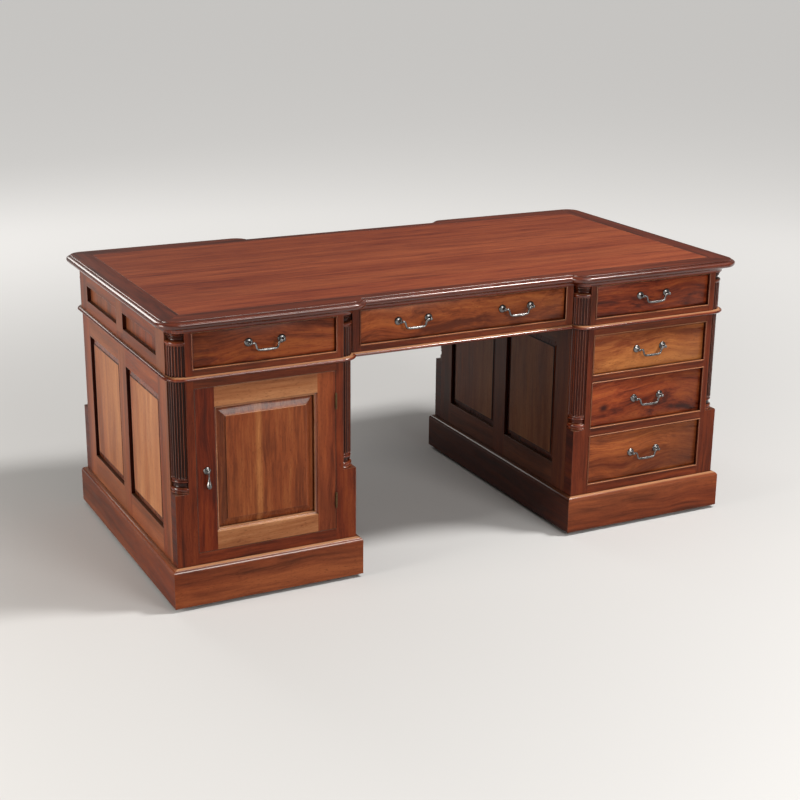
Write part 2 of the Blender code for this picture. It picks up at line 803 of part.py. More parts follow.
def tube(points, radius):
    """A round wire along points that lie in a plane across Y."""
    rings = []
    across = Vector((0.0, 1.0, 0.0))
    for index, point in enumerate(points):
        before = points[max(index - 1, 0)]
        after = points[min(index + 1, len(points) - 1)]
        side = (after - before).normalized().cross(across)
        rings.append([point + radius * (across * math.cos(math.tau * step / wire_sides)
                                        + side * math.sin(math.tau * step / wire_sides))
                      for step in range(wire_sides)])
    return solid(rings, False)


rose_shape = rose_and_post()
bail_shape = bail()


# Drawers: a front with its roses, a box that is open above, and a bail for each handle

def drawer(name, opening, face, handle_height, handle_offsets):
    low_x, high_x, low_z, high_z = opening
    middle = (low_x + high_x) / 2
    half_width = (high_x - low_x) / 2
    front_y = face + front_inset
    front_shape = box(reveal - half_width, half_width - reveal, 0.0, front_thickness, low_z + reveal, high_z - reveal)
    for offset in handle_offsets:
        for side in (-1, 1):
            rose = moved(rose_shape, shift(offset + side * rose_spacing / 2, 0.0, handle_height))
            front_shape = joined(front_shape, rose)
    place(name + "_front", front_shape, face_wood, (middle, front_y, 0.0), True)
    half_box = half_width - box_clearance
    bottom = low_z + hairline
    top = high_z - drawer_headroom
    start = front_thickness + hairline
    outer = [(-half_box, start), (half_box, start), (half_box, start + drawer_length),
             (-half_box, start + drawer_length)]
    inner_half = half_box - drawer_wall
    inner = [(-inner_half, start + drawer_wall), (inner_half, start + drawer_wall),
             (inner_half, start + drawer_length - drawer_wall), (-inner_half, start + drawer_length - drawer_wall)]
    rings = [[(x, y, bottom) for x, y in outer], [(x, y, top) for x, y in outer],
             [(x, y, top) for x, y in inner], [(x, y, bottom + drawer_floor) for x, y in inner]]
    place(name + "_box", solid(rings, False), lining_wood, (middle, front_y, 0.0))
    for offset, label in zip(handle_offsets, handle_labels(handle_offsets)):
        place(name + label + "_bail", bail_shape, hardware_metal,
              (middle + offset, front_y - bail_out, handle_height), True)


def handle_labels(offsets):
    if len(offsets) == 1:
        return [""]
    return ["_left", "_right"]


case_handle = (opening_bottom + opening_top) / 2 + case_handle_rise
centre_handle = centre_half_opening * centre_handle_share
drawer("left_frieze_drawer", left_wing_opening, -case_half_depth, case_handle, [0.0])
drawer("centre_frieze_drawer", centre_opening, -centre_half_depth, case_handle,
       [-centre_handle, centre_handle])
drawer("right_frieze_drawer", wing_opening, -case_half_depth, case_handle, [0.0])
for name, (bottom, top) in zip(("lower", "middle", "upper"), drawer_levels):
    drawer(name + "_pedestal_drawer", (pedestal_centre - opening_half, pedestal_centre + opening_half, bottom, top),
           -pedestal_half_depth, (bottom + top) / 2 + pedestal_handle_rise, [0.0])


# Door of the left pedestal: a frame with a moulded inner edge and a raised and fielded panel

door_face = -pedestal_half_depth
door_left = -opening_half + reveal
door_right = opening_half - reveal
door_low = door_bottom + reveal
door_high = door_top - reveal
sight = (door_left + door_stile, door_right - door_stile, door_low + door_bottom_rail, door_high - door_top_rail)
outer_edge = (door_left, door_right, door_low, door_high)
groove = door_face + door_thickness - panel_tongue - hairline
door_rings = [rectangle_ring(*outer_edge, door_face, 0.0),
              rectangle_ring(*outer_edge, door_face + door_thickness, 0.0),
              rectangle_ring(*sight, door_face + door_thickness, panel_rebate),
              rectangle_ring(*sight, groove, panel_rebate),
              rectangle_ring(*sight, groove, 0.0)]
for step in range(profile_steps):
    angle = math.pi / 2 * step / (profile_steps - 1)
    door_rings.append(rectangle_ring(*sight, door_face + sticking_depth * math.cos(angle),
                                     sticking_width * math.sin(angle)))
door_frame = solid(door_rings, True)
upper_hinge = door_top - upper_hinge_inset - hinge_length / 2
lower_hinge = door_bottom + lower_hinge_inset - hinge_length / 2
for level in (upper_hinge, lower_hinge):
    door_frame = without(door_frame, box(door_right - leaf_thickness, door_right + overrun, door_face - overrun,
                                         door_face + leaf_width + hairline, level - hairline,
                                         level + hinge_length + hairline))
place("door_frame", moved(door_frame, to_left), frame_wood)

panel_edge = panel_rebate - hairline
panel_back = door_face + door_thickness
panel_front = groove + hairline
field_face = panel_front - field_rise
panel_rings = [rectangle_ring(*sight, panel_back, panel_edge),
               rectangle_ring(*sight, panel_front, panel_edge),
               rectangle_ring(*sight, panel_front, -hairline),
               rectangle_ring(*sight, field_face + field_step, -field_bevel),
               rectangle_ring(*sight, field_face, -field_bevel - hairline)]
place("door_panel", moved(solid(panel_rings, False), to_left), face_wood)


def hinge(level):
    """A knuckle in front of the joint, with its leaf let into the edge of the door."""
    centre_x = opening_half - reveal / 2
    knuckle_plan = [(centre_x + hinge_radius * math.cos(math.tau * step / rose_steps),
                     door_face - hinge_out + hinge_radius * math.sin(math.tau * step / rose_steps))
                    for step in range(rose_steps)]
    knuckle = prism(knuckle_plan, level, level + hinge_length)
    leaf = box(door_right - leaf_thickness + hairline, door_right + hairline, door_face - hinge_out,
               door_face + leaf_width, level, level + hinge_length)
    return joined(knuckle, leaf)


hinge_origin = (opening_half - reveal / 2 - pedestal_centre, door_face - hinge_out)
for name, level in (("door_upper_hinge", upper_hinge), ("door_lower_hinge", lower_hinge)):
    shape = moved(hinge(level), shift(-opening_half + reveal / 2, hinge_out - door_face, 0.0))
    place(name, shape, hinge_metal, (hinge_origin[0], hinge_origin[1], 0.0))


# Drop pull of the door

pull_x = door_left + pull_inset - pedestal_centre
pull_z = door_bottom - door_sill + pull_height
rose_profile = [(pull_rose_radius, hairline), (pull_rose_radius, rose_height * 0.2),
                (pull_rose_radius * 0.78, rose_height * 0.75), (post_radius * 1.5, rose_height),
                (post_radius, rose_height + post_radius), (post_radius, pull_out - pull_ring * 1.5),
                (post_radius * 1.3, pull_out - pull_ring * 1.25), (post_radius / 2, pull_out - pull_ring)]
place("door_pull_rose", lathe(rose_profile, rose_steps), hardware_metal, (pull_x, door_face, pull_z), True)


def drop():
    """Pear-shaped drop turned about Z, with the ball that it hangs from at its top."""
    rings = []
    shares = (-0.075, -0.05, 0.0, 0.05, 0.08, 0.25, 0.52, 0.66, 0.78, 0.89, 1.0)
    swells = (0.15, 0.38, 0.5, 0.38, 0.24, 0.24, 0.52, 0.8, 1.0, 0.92, 0.2)
    for along_share, swell_share in zip(shares, swells):
        reach = pull_radius * swell_share
        rings.append([(reach * math.cos(math.tau * step / rose_steps), reach * math.sin(math.tau * step / rose_steps),
                       -pull_length * along_share) for step in range(rose_steps)])
    return solid(rings, False)


place("door_pull_drop", drop(), hardware_metal, (pull_x, door_face - pull_out, pull_z), True)
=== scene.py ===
import math
from functools import partial

import bmesh
import bpy
from mathutils import Matrix, Vector


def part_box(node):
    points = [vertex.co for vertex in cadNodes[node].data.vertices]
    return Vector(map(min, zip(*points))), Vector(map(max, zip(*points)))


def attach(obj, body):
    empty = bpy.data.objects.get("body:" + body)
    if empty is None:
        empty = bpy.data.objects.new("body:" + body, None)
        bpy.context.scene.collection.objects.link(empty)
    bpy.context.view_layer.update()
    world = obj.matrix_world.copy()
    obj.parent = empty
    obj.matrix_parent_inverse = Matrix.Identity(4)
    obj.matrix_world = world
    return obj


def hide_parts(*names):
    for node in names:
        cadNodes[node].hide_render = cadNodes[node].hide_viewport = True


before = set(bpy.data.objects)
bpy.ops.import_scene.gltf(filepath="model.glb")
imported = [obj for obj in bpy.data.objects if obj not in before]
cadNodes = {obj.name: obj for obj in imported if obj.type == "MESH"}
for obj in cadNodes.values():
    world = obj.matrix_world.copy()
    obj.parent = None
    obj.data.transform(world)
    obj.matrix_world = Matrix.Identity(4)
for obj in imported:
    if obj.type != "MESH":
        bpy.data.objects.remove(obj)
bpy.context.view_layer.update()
print("desk: frame loaded")

# sizes shared by several pieces, in metres
desk = {
    "caseHalfLength": 0.8690,
    "caseHalfDepth": 0.4300,
    "recess": 0.0313,        # how far the middle stands back from the wings
    "middleHalf": 0.3240,    # half the width of that middle
    "caseRebate": 0.0404,    # corner cut for the upper columns
    "lowRebate": 0.0373,     # corner cut for the lower columns
    "setback": 0.0025,       # of the pedestals behind the case
    "stile": 0.0220,         # between a rebate and the opening
    "pedestalHalf": 0.25755,
    "plinthTop": 0.1185,
    "pedestalTop": 0.6265,
    "caseBase": 0.6386,
    "caseTop": 0.7705,
    "top": 0.7920,
    "blockTop": 0.3218,      # square block under each lower column
}
caseX, caseY, pedestalHalf = desk["caseHalfLength"], desk["caseHalfDepth"], desk["pedestalHalf"]
pedestalX = caseX - desk["setback"] - pedestalHalf
pedestalY = caseY - desk["setback"]
openingHalf = pedestalHalf - desk["lowRebate"] - desk["stile"]
hair = 0.0003                # gap between neighbours
weld, sliver, ringWeld = 0.00002, 0.00001, 0.000005  # points nearer than this are one, also where a plane cuts
corners = ((-1, -1), (-1, 1), (1, -1), (1, 1))


def linearColour(code):
    parts = [int(code[i:i + 2], 16) / 255 for i in (1, 3, 5)]
    return tuple(p / 12.92 if p <= 0.04045 else ((p + 0.055) / 1.055) ** 2.4 for p in parts) + (1.0,)


def fill(node, links):
    # links gives inputs, by name or number or else in order, a value, a colour code, a socket, or a node, of which
    # the first output in use is taken
    for key, value in links.items() if isinstance(links, dict) else enumerate(links):
        if isinstance(value, bpy.types.Node):
            value = next(output for output in value.outputs if output.enabled)
        if isinstance(value, bpy.types.NodeSocket):
            node.id_data.links.new(value, node.inputs[key])
        else:
            node.inputs[key].default_value = linearColour(value) if isinstance(value, str) else value


def put(tree, kind, links=(), **settings):
    # one node: kind is its type, with the operation of a maths node, and settings are its properties
    kind, *operation = kind.split()
    made = tree.nodes.new(kind if kind.startswith(("Geometry", "NodeGroup")) else "ShaderNode" + kind)
    if operation:
        made.operation = operation[0]
    for key, value in settings.items():
        setattr(made, key, value)
    fill(made, links)
    return made


def newMaterial(name):
    material = bpy.data.materials.new(name)
    material.use_nodes = True
    tree = material.node_tree
    return material, partial(put, tree), tree.nodes["Principled BSDF"]


# mahogany under satin lacquer: deep red-brown, rubbed back a little on its edges with a painted highlight there and
# on its ledges, and darker in its corners with dark wax and painted shade
carcaseLook = {
    "name": "mahogany satin lacquer, carcase",
    "deep": "#38120A", "dark": "#531B0B", "mid": "#702A13", "light": "#8B3E1C",
    "goldDark": "#8C5230", "gold": "#B4825A", "waxAndShadeColour": "#120503", "wearAndHighlightColour": "#C8946C",
    "figure": 22.0, "fibre": 190.0, "knots": 0.0, "mottle": 0.30, "spread": 0.125, "sweep": 0.012,
    "rough": 0.38, "edgeRough": 0.20, "specular": 0.17, "coat": 1.0, "coatRough": 0.13, "ledge": 0.70,
}
faceLook = {
    "name": "mahogany satin lacquer, drawer fronts",
    "deep": "#34100A", "dark": "#5A1F10", "mid": "#80341A", "light": "#9C4E27",
    "goldDark": "#844020", "gold": "#BC7A44", "waxAndShadeColour": "#140604", "wearAndHighlightColour": "#D0A480",
    "figure": 15.0, "fibre": 170.0, "knots": 1.0, "mottle": 0.72, "spread": 0.090, "sweep": 0.036,
    "rough": 0.36, "edgeRough": 0.22, "specular": 0.18, "coat": 0.08, "coatRough": 0.13, "ledge": 0.55,
}
panelLook = dict(faceLook, name="mahogany satin lacquer, door panel", deep="#4A1A0D", figure=30.0, mottle=0.35,
                 spread=0.140, sweep=0.010, light="#94502C", goldDark="#8A4A28", gold="#BC8450")
topLook = {
    "name": "mahogany satin lacquer, top",
    "deep": "#522018", "dark": "#6C2D1E", "mid": "#803D26", "light": "#904A2E",
    "goldDark": "#84442A", "gold": "#A05C38", "waxAndShadeColour": "#140604", "wearAndHighlightColour": "#A8623C",
    "figure": 40.0, "fibre": 150.0, "knots": 0.0, "mottle": 0.20, "spread": 0.120, "sweep": 0.008,
    "rough": 0.44, "edgeRough": 0.30, "specular": 0.12, "coat": 1.0, "coatRough": 0.13, "ledge": 0.0,
}
borderLook = {
    "name": "mahogany satin lacquer, top border",
    "deep": "#300F08", "dark": "#451B10", "mid": "#5C2617", "light": "#703421",
    "goldDark": "#6E3420", "gold": "#8C4E32", "waxAndShadeColour": "#100403", "wearAndHighlightColour": "#A86C50",
    "figure": 30.0, "fibre": 170.0, "knots": 0.0, "mottle": 0.20, "spread": 0.120, "sweep": 0.004,
    "rough": 0.42, "edgeRough": 0.26, "specular": 0.18, "coat": 1.0, "coatRough": 0.19, "ledge": 0.0,
}
# plain pale wood, sanded and duller than the rest
liningLook = {
    "name": "plain tulipwood, sanded",
    "deep": "#8C7048", "dark": "#A4875C", "mid": "#B99D72", "light": "#C8B088",
    "goldDark": "#B99D72", "gold": "#CDB78F", "waxAndShadeColour": "#4A3822", "wearAndHighlightColour": "#CDB78F",
    "figure": 8.0, "fibre": 160.0, "knots": 0.0, "mottle": 0.2, "spread": 0.105, "sweep": 0.01,
    "rough": 0.62, "edgeRough": 0.60, "specular": 0.4, "coat": 1.0, "coatRough": 0.13, "ledge": 0.0,
}
# what all the woods share; noises are scaled from a look's figure and fibre, and lengths are metres
grainwork = {
    "boardStep": (3.71, 5.13, 2.37),  # how far apart two boards lie in the pattern
    "wave": 5.0, "streaks": 5.2, "fine": 1.6, "pores": 3.0, "clouds": 3.4, "patches": 13.0, "knots": 7.0,
    "long": 0.055, "short": 0.16, "patch": 0.45, "knot": 0.6,  # distance along the fibres is cut to these shares
    "figureShare": 0.42, "streakShare": 0.30, "fibreShare": 0.12, "patchShare": 0.30,
    "darkStop": -0.46, "midStop": 0.14, "knotRarity": 0.62,
    # on the next line: how far painted shade reaches into corners, how much painted highlight worn edges get, and
    # how much less painted shade tops get
    "cornerReach": 0.0080, "edgeRound": 0.0015, "wear": 0.25, "shadeSparedOnTops": 0.75, "ior": 1.5,
    "bump": 0.10, "bumpDepth": 0.0006,
    # masks: where each starts and ends on its source, then its own value at the start and at the end
    "golden": (0.40, 0.60, 0.35), "heart": (0.52, 0.70, 0.0), "knotSize": (0.03, 0.11),
    # the next masks set where tops get a painted highlight and where corners get dark wax and painted shade
    "pored": (0.60, 0.72, 0.0, 0.42), "edge": (0.995, 0.90), "outward": (0.75, 0.95), "upward": (0.72, 0.99),
    "lively": (-0.30, -0.04, 0.12), "waxAndShadeRange": (0.30, 0.84, 0.85, 0.0), "turned": (0.999, 0.96),
}


def makeWood(look):
    # the grain attribute holds the way the fibres run, stock holds a board's number, its gold and its shade
    g = grainwork
    material, add, shader = newMaterial(look["name"])
    place = add("TexCoord").outputs["Object"]
    grain = add("Attribute", attribute_name="grain").outputs["Vector"]
    stock = add("Attribute", attribute_name="stock").outputs["Vector"]
    number, gold, shade = add("SeparateXYZ", (stock,)).outputs
    moved = add("VectorMath ADD", (place, add("VectorMath MULTIPLY", (number, g["boardStep"]))))
    # a slow wave carries the streaks off their line, as fibres sweep round a knot or a fork
    wave = add("TexNoise", {"Vector": moved, "Scale": g["wave"], "Detail": 1.0}).outputs["Color"]
    offset = add("VectorMath SUBTRACT", (wave, (0.5, 0.5, 0.5)))
    bent = add("VectorMath SCALE", {0: offset, "Scale": look["sweep"] * 2.0})
    shifted = add("VectorMath ADD", (moved, bent))
    along = add("VectorMath DOT_PRODUCT", (shifted, grain))

    def stretched(share):
        # the same point with its distance along the fibres shortened, so noise draws out into streaks
        shorter = add("Math MULTIPLY", (along, share - 1.0))
        return add("VectorMath ADD", (shifted, add("VectorMath SCALE", {0: grain, "Scale": shorter})))

    longGrain, shortGrain = stretched(g["long"]), stretched(g["short"])
    figure = add("TexNoise", {"Vector": longGrain, "Scale": look["figure"], "Detail": 3.0, "Roughness": 0.55,
                              "Distortion": 0.9})
    streak = add("TexNoise", {"Vector": longGrain, "Scale": look["figure"] * g["streaks"], "Detail": 4.0,
                              "Roughness": 0.62, "Distortion": 0.25})
    fibre = add("TexNoise", {"Vector": longGrain, "Scale": look["fibre"] * g["fine"], "Detail": 2.0,
                             "Roughness": 0.6})
    # mahogany pores are 0.1 mm wide; they are drawn at about 1 mm so that they show
    pores = add("TexNoise", {"Vector": shortGrain, "Scale": look["fibre"] * g["pores"], "Detail": 1.0})
    cloud = add("TexNoise", {"Vector": shortGrain, "Scale": g["clouds"], "Detail": 2.0})
    # mottled figure: patches of 5 to 15 cm where the fibres tilt in and out of the surface
    patch = add("TexNoise", {"Vector": stretched(g["patch"]), "Scale": g["patches"], "Detail": 3.0,
                             "Roughness": 0.6, "Distortion": 0.7})
    patchShare = g["patchShare"] * look["mottle"]
    mixed = add("Math MULTIPLY", (figure, g["figureShare"]))
    for source, weight in ((streak, g["streakShare"]), (fibre, g["fibreShare"]), (patch, patchShare)):
        mixed = add("Math MULTIPLY_ADD", (source, weight, mixed))
    middle = 0.5 * (g["figureShare"] + g["streakShare"] + g["fibreShare"] + patchShare)
    spread = look["spread"]
    tone = add("ValToRGB", (mixed,))
    stops = tone.color_ramp.elements
    stops[0].position, stops[1].position = middle - spread, middle + spread
    stops[0].color, stops[1].color = linearColour(look["deep"]), linearColour(look["light"])
    for key, stop in (("dark", g["darkStop"]), ("mid", g["midStop"])):
        stops.new(middle + stop * spread).color = linearColour(look[key])
    # paler, golden wood lies in clouds over a board; its own figure stays in it
    paler = add("MapRange", (mixed, middle - spread, middle + spread))
    golden = add("Mix", {"Factor": paler, "A": look["goldDark"], "B": look["gold"]}, data_type="RGBA")
    goldMask = add("Math MULTIPLY", (add("MapRange", (cloud, *g["golden"])), gold))
    # dark heart patches and small knots, only where the look has them
    darkMask = add("MapRange", (patch, *g["heart"], 0.8 * look["mottle"]))
    knot = add("TexVoronoi", {"Vector": stretched(g["knot"]), "Scale": g["knots"]}).outputs
    knotSize = add("MapRange", (knot["Distance"], *g["knotSize"], look["knots"], 0.0))
    knotPick = add("Math GREATER_THAN", (add("SeparateXYZ", (knot["Color"],)), g["knotRarity"]))
    knotMask = add("Math MULTIPLY", (knotSize, knotPick))
    poreMask = add("MapRange", (pores, *g["pored"]))
    for mask, colour in ((goldMask, golden), (darkMask, look["dark"]), (knotMask, look["deep"]),
                         (poreMask, look["deep"])):
        tone = add("Mix", {"Factor": mask, "A": tone, "B": colour}, data_type="RGBA")
    # shade: minus darkens a board, plus lightens it; besides the boards' own tones it carries painted shade and
    # painted light, set face by face
    tone = add("HueSaturation", {"Color": tone, "Value": add("Math ADD", (shade, 1.0))})
    exposed = add("AmbientOcclusion", {"Distance": g["cornerReach"]}, samples=6).outputs["AO"]
    softEdge = add("Bevel", {"Radius": g["edgeRound"]}, samples=4)
    flat = add("NewGeometry").outputs["Normal"]
    # edges are rubbed lighter, partly wear and partly a painted highlight: the rounded normal leaves the flat one
    # there
    edge = add("MapRange", (add("VectorMath DOT_PRODUCT", (softEdge, flat)), *g["edge"]))
    outward = add("MapRange", (exposed, *g["outward"]))
    # boards given a dark shade, painted shade among them, get no polish and no painted highlight on their ledges
    lively = add("MapRange", (shade, *g["lively"]))
    wear = add("Math MULTIPLY", (add("Math MULTIPLY", (edge, outward)), lively))
    # painted highlight: ledges and the tops of mouldings are painted lighter, as light from above falls on them
    upward = add("MapRange", (add("SeparateXYZ", (flat,)).outputs["Z"], *g["upward"]))
    ledge = add("Math MULTIPLY", (add("Math MULTIPLY", (upward, look["ledge"])), lively))
    # wear on the edges and the painted highlight on the tops, mixed toward a pale colour
    wearAndHighlightMask = add("Math MULTIPLY_ADD", (wear, g["wear"], ledge), use_clamp=True)
    tone = add("Mix", {"Factor": wearAndHighlightMask, "A": tone, "B": look["wearAndHighlightColour"]}, data_type="RGBA")
    # dark wax and painted shade in the corners, where little light reaches, and less of it on tops, which are
    # painted as lit from above
    shadeSparedOnTops = add("Math MULTIPLY_ADD", (upward, -g["shadeSparedOnTops"], 1.0))
    waxAndShadeMask = add("Math MULTIPLY", (add("MapRange", (exposed, *g["waxAndShadeRange"])), shadeSparedOnTops))
    tone = add("Mix", {"Factor": waxAndShadeMask, "A": tone, "B": look["waxAndShadeColour"]}, data_type="RGBA")
    # edges and mouldings, where the normal isn't along an axis, are polished by handling
    axes = add("SeparateXYZ", (add("VectorMath ABSOLUTE", (flat,)),)).outputs
    largest = add("Math MAXIMUM", (add("Math MAXIMUM", (axes["X"], axes["Y"])), axes["Z"]))
    polished = add("Math MAXIMUM", (add("MapRange", (largest, *g["turned"])), edge))
    grainRough = add("MapRange", (streak, 0.3, 0.7, look["rough"] - 0.05, look["rough"] + 0.07))
    height = add("Math MULTIPLY_ADD", (fibre, 0.6, streak))
    coat = add("Math MULTIPLY", (add("Math MULTIPLY", (polished, lively)), look["coat"]))
    fill(shader, {
        "Base Color": tone,
        "Roughness": add("Mix", {"Factor": polished, "A": grainRough, "B": look["edgeRough"]}),
        "Normal": add("Bump", {"Height": height, "Strength": g["bump"], "Distance": g["bumpDepth"],
                                "Normal": softEdge}),
        "Coat Weight": coat, "Coat Roughness": look["coatRough"], "Coat IOR": g["ior"], "IOR": g["ior"],
        "Specular IOR Level": look["specular"]})
    return material


carcaseWood, faceWood, panelWood, topWood, borderWood, liningWood = map(
    makeWood, (carcaseLook, faceLook, panelLook, topLook, borderLook, liningLook))

# cast and pressed metal, artificially aged: brighter where hands rub it, dull and dark in its hollows
nickelLook = {"name": "antiqued nickel, cast", "base": "#504F4F", "worn": "#8E8D8D", "tarnish": "#0F0E0D",
              "rough": 0.27}
brassLook = {"name": "aged brass, pressed", "base": "#4A3B29", "worn": "#6E5A3E", "tarnish": "#1E150D",
             "rough": 0.45}


def makeMetal(look):
    material, add, shader = newMaterial(look["name"])
    place = add("TexCoord").outputs["Object"]
    blotch = add("TexNoise", {"Vector": place, "Scale": 90.0, "Detail": 3.0})
    speck = add("TexNoise", {"Vector": place, "Scale": 900.0, "Detail": 2.0})
    wear = add("MapRange", (blotch, 0.30, 0.75))
    body = add("Mix", {"Factor": wear, "A": look["base"], "B": look["worn"]}, data_type="RGBA")
    exposed = add("AmbientOcclusion", {"Distance": 0.004}, samples=6).outputs["AO"]
    dirt = add("MapRange", (exposed, 0.3, 0.85, 0.8, 0.0))
    fill(shader, {
        "Base Color": add("Mix", {"Factor": dirt, "A": body, "B": look["tarnish"]}, data_type="RGBA"),
        "Roughness": add("MapRange", (speck, 0.3, 0.7, look["rough"] - 0.04, look["rough"] + 0.05)),
        "Normal": add("Bump", {"Height": speck, "Strength": 0.04, "Distance": 0.0003}),
        "Metallic": 1.0})
    return material


agedNickel, agedBrass = makeMetal(nickelLook), makeMetal(brassLook)
print("desk: materials made")

alongX, alongY, alongZ = (1.0, 0.0, 0.0), (0.0, 1.0, 0.0), (0.0, 0.0, 1.0)
# gold and shade of the boards; several shades are painted shade or painted light
tones = {
    "cove": (0.0, -0.05), "waist": (0.0, 0.0), "borderEnd": (0.0, -0.06), "borderLength": (0.05, 0.0),
    "stile": (0.1, -0.12), "rail": (0.15, -0.08),
    "bead": (0.8, 0.30),          # painted highlight: beads painted pale
    "shadedOpeningWall": (0.0, -0.50),  # painted shade inside the drawer openings
    # painted shade on the walls of the sunk panels
    "shadedRecessWall": (0.0, -0.76),
    "outerPanel": (0.95, 0.05), "outerFrame": (0.4, 0.0),
    "innerPanel": (0.95, -0.22), "innerFrame": (0.4, -0.42),  # toward the kneehole: painted shade, darker than the outer sides
    "endPanel": (0.35, -0.14), "endFrame": (0.4, -0.16),
    "divider": (0.0, -0.1), "hidden": (0.2, -0.05), "box": (0.2, 0.0),
    # painted shade on the plinth ends, darkest toward the kneehole
    "plinthLength": (0.25, 0.04), "plinthOuterEndShade": (0.2, -0.27), "plinthKneeholeShade": (0.2, -0.62),
    "block": (0.0, -0.2), "glide": (0.0, -0.55),
    "doorLeft": (0.0, -0.06), "doorRight": (0.2, 0.06), "doorRail": (0.9, 0.10),
}


def show(name, data):
    item = bpy.data.objects.new(name, data)
    bpy.context.scene.collection.objects.link(item)
    return item


def finish(name, mesh, instead=(), material=carcaseWood, body="desk_carcase", smoothAngle=35.0):
    # names a mesh, gives it its finish and its body, and takes the place of CAD nodes
    mesh.name = name
    mesh.materials.clear()
    mesh.materials.append(material)
    mesh.shade_smooth()
    mesh.set_sharp_from_angle(angle=math.radians(smoothAngle))
    piece = show(name, mesh)
    if instead:
        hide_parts(*instead)
    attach(piece, body)


def toMesh(bm, name="shape"):
    mesh = bpy.data.meshes.new(name)
    bm.to_mesh(mesh)
    bm.free()
    return mesh


def fromMeshes(*meshes):
    # one shape to edit out of meshes, which are cleared away
    bm = bmesh.new()
    for mesh in meshes:
        bm.from_mesh(mesh)
        bpy.data.meshes.remove(mesh)
    return bm


def setGrain(bm, rule):
    # rule gives each face its fibre direction and its board: number, gold, shade
    mesh = toMesh(bm)
    grain = mesh.attributes.new("grain", "FLOAT_VECTOR", "FACE")
    stock = mesh.attributes.new("stock", "FLOAT_VECTOR", "FACE")
    for face in mesh.polygons:
        grain.data[face.index].vector, stock.data[face.index].vector = rule(face.center, face.normal)
    return mesh


def board(number, kind):
    return number, *tones[kind]


def oneBoard(way, number, kind):
    return lambda centre, normal: (way, board(number, kind))


def quarterTurn(steps):
    return [math.pi / 2 * step / steps for step in range(steps + 1)]


def between(low, value, high):
    return max(low, min(high, value))


def cutAcross(bm, point, normal, faces=()):
    # a plane cuts the faces given, or else all of them
    geometry = list({part for face in faces for part in (face, *face.edges, *face.verts)})
    geometry = geometry or bm.verts[:] + bm.edges[:] + bm.faces[:]
    bmesh.ops.bisect_plane(bm, geom=geometry, dist=sliver, plane_co=point, plane_no=normal)


def copyNode(name, cuts=()):
    # a clean copy of a CAD node, split along the joints between its boards
    source = cadNodes[name].data.copy()
    if "custom_normal" in source.attributes:
        source.attributes.remove(source.attributes["custom_normal"])
    bm = fromMeshes(source)
    bmesh.ops.remove_doubles(bm, verts=bm.verts, dist=weld)
    bmesh.ops.dissolve_limit(bm, angle_limit=math.radians(0.5), verts=bm.verts, edges=bm.edges)
    for point, normal in cuts:
        cutAcross(bm, point, normal)
    bmesh.ops.recalc_face_normals(bm, faces=bm.faces)
    return bm


def dressNode(name, rule, cuts=(), material=carcaseWood):
    finish(name + "Wood", setGrain(copyNode(name, cuts), rule), [name], material)


def ringSolid(rings, closed=True):
    bm = bmesh.new()
    loops = [[bm.verts.new(point) for point in ring] for ring in rings]
    pairs = list(zip(loops, loops[1:]))
    if closed:
        pairs.append((loops[-1], loops[0]))
    else:
        bm.faces.new(loops[0])
        bm.faces.new(loops[-1])
    for first, second in pairs:
        for index in range(len(first)):
            after = (index + 1) % len(first)
            bm.faces.new((first[index], first[after], second[after], second[index]))
    bmesh.ops.remove_doubles(bm, verts=bm.verts, dist=ringWeld)
    bmesh.ops.recalc_face_normals(bm, faces=bm.faces)
    return bm


def easedBox(low, high, ease=0.0010):
    # a board with its edges taken off, or left sharp where ease is nothing
    bm = bmesh.new()
    bmesh.ops.create_cube(bm, size=1.0)
    middle = (Vector(low) + Vector(high)) / 2
    size = Vector(high) - Vector(low)
    bmesh.ops.transform(bm, matrix=Matrix.Translation(middle) @ Matrix.Diagonal((*size, 1.0)), verts=bm.verts)
    if ease:
        bmesh.ops.bevel(bm, geom=bm.edges[:], offset=ease, segments=2, profile=0.5, affect="EDGES")
        bmesh.ops.recalc_face_normals(bm, faces=bm.faces)
    return bm


def lathe(profile, centre, steps, axis="Y"):
    # turned about Y, toward the front, or about Z, from pairs of radius and distance
    rings = []
    for radius, out in profile:
        ring = []
        for step in range(steps):
            angle = math.tau * step / steps
            a, b = radius * math.cos(angle), radius * math.sin(angle)
            ring.append(Vector(centre) + Vector((a, -out, b) if axis == "Y" else (a, b, out)))
        rings.append(ring)
    return ringSolid(rings, False)


def joinShapes(shapes):
    return fromMeshes(*[toMesh(shape) for shape in shapes])


outline = {"cornerSteps": 20, "innerSteps": 14}


def caseQuarter(offset, corner):
    # a quarter of the case's outline, offset outside its faces; corner is its radius in line with them
    radius = corner + offset
    centreY = corner - caseY
    innerX = pedestalX - pedestalHalf - desk["setback"] + corner
    outerX = caseX - corner
    faceY = -(caseY - desk["recess"] + offset)
    depth = centreY - faceY
    points, start, steps = [(0.0, faceY)], 0.0, outline["innerSteps"]
    if depth >= 0:
        start = math.asin(depth / radius)
    else:
        points.append((innerX - radius, faceY))
        steps -= 1
    for step in range(steps + 1):
        angle = start + (math.pi / 2 - start) * step / steps
        points.append((innerX - radius * math.cos(angle), centreY - radius * math.sin(angle)))
    for angle in quarterTurn(outline["cornerSteps"]):
        points.append((outerX + radius * math.sin(angle), centreY - radius * math.cos(angle)))
    return points + [(outerX + radius, 0.0)]


def caseLoop(offset, height, corner=desk["caseRebate"]):
    quarter = caseQuarter(offset, corner)
    loop = []
    for sx, sy in ((1, 1), (1, -1), (-1, -1), (-1, 1)):
        part = quarter if sx == sy else quarter[::-1]
        loop += [Vector((sx * x, sy * y, height)) for x, y in part[:-1]]
    return loop


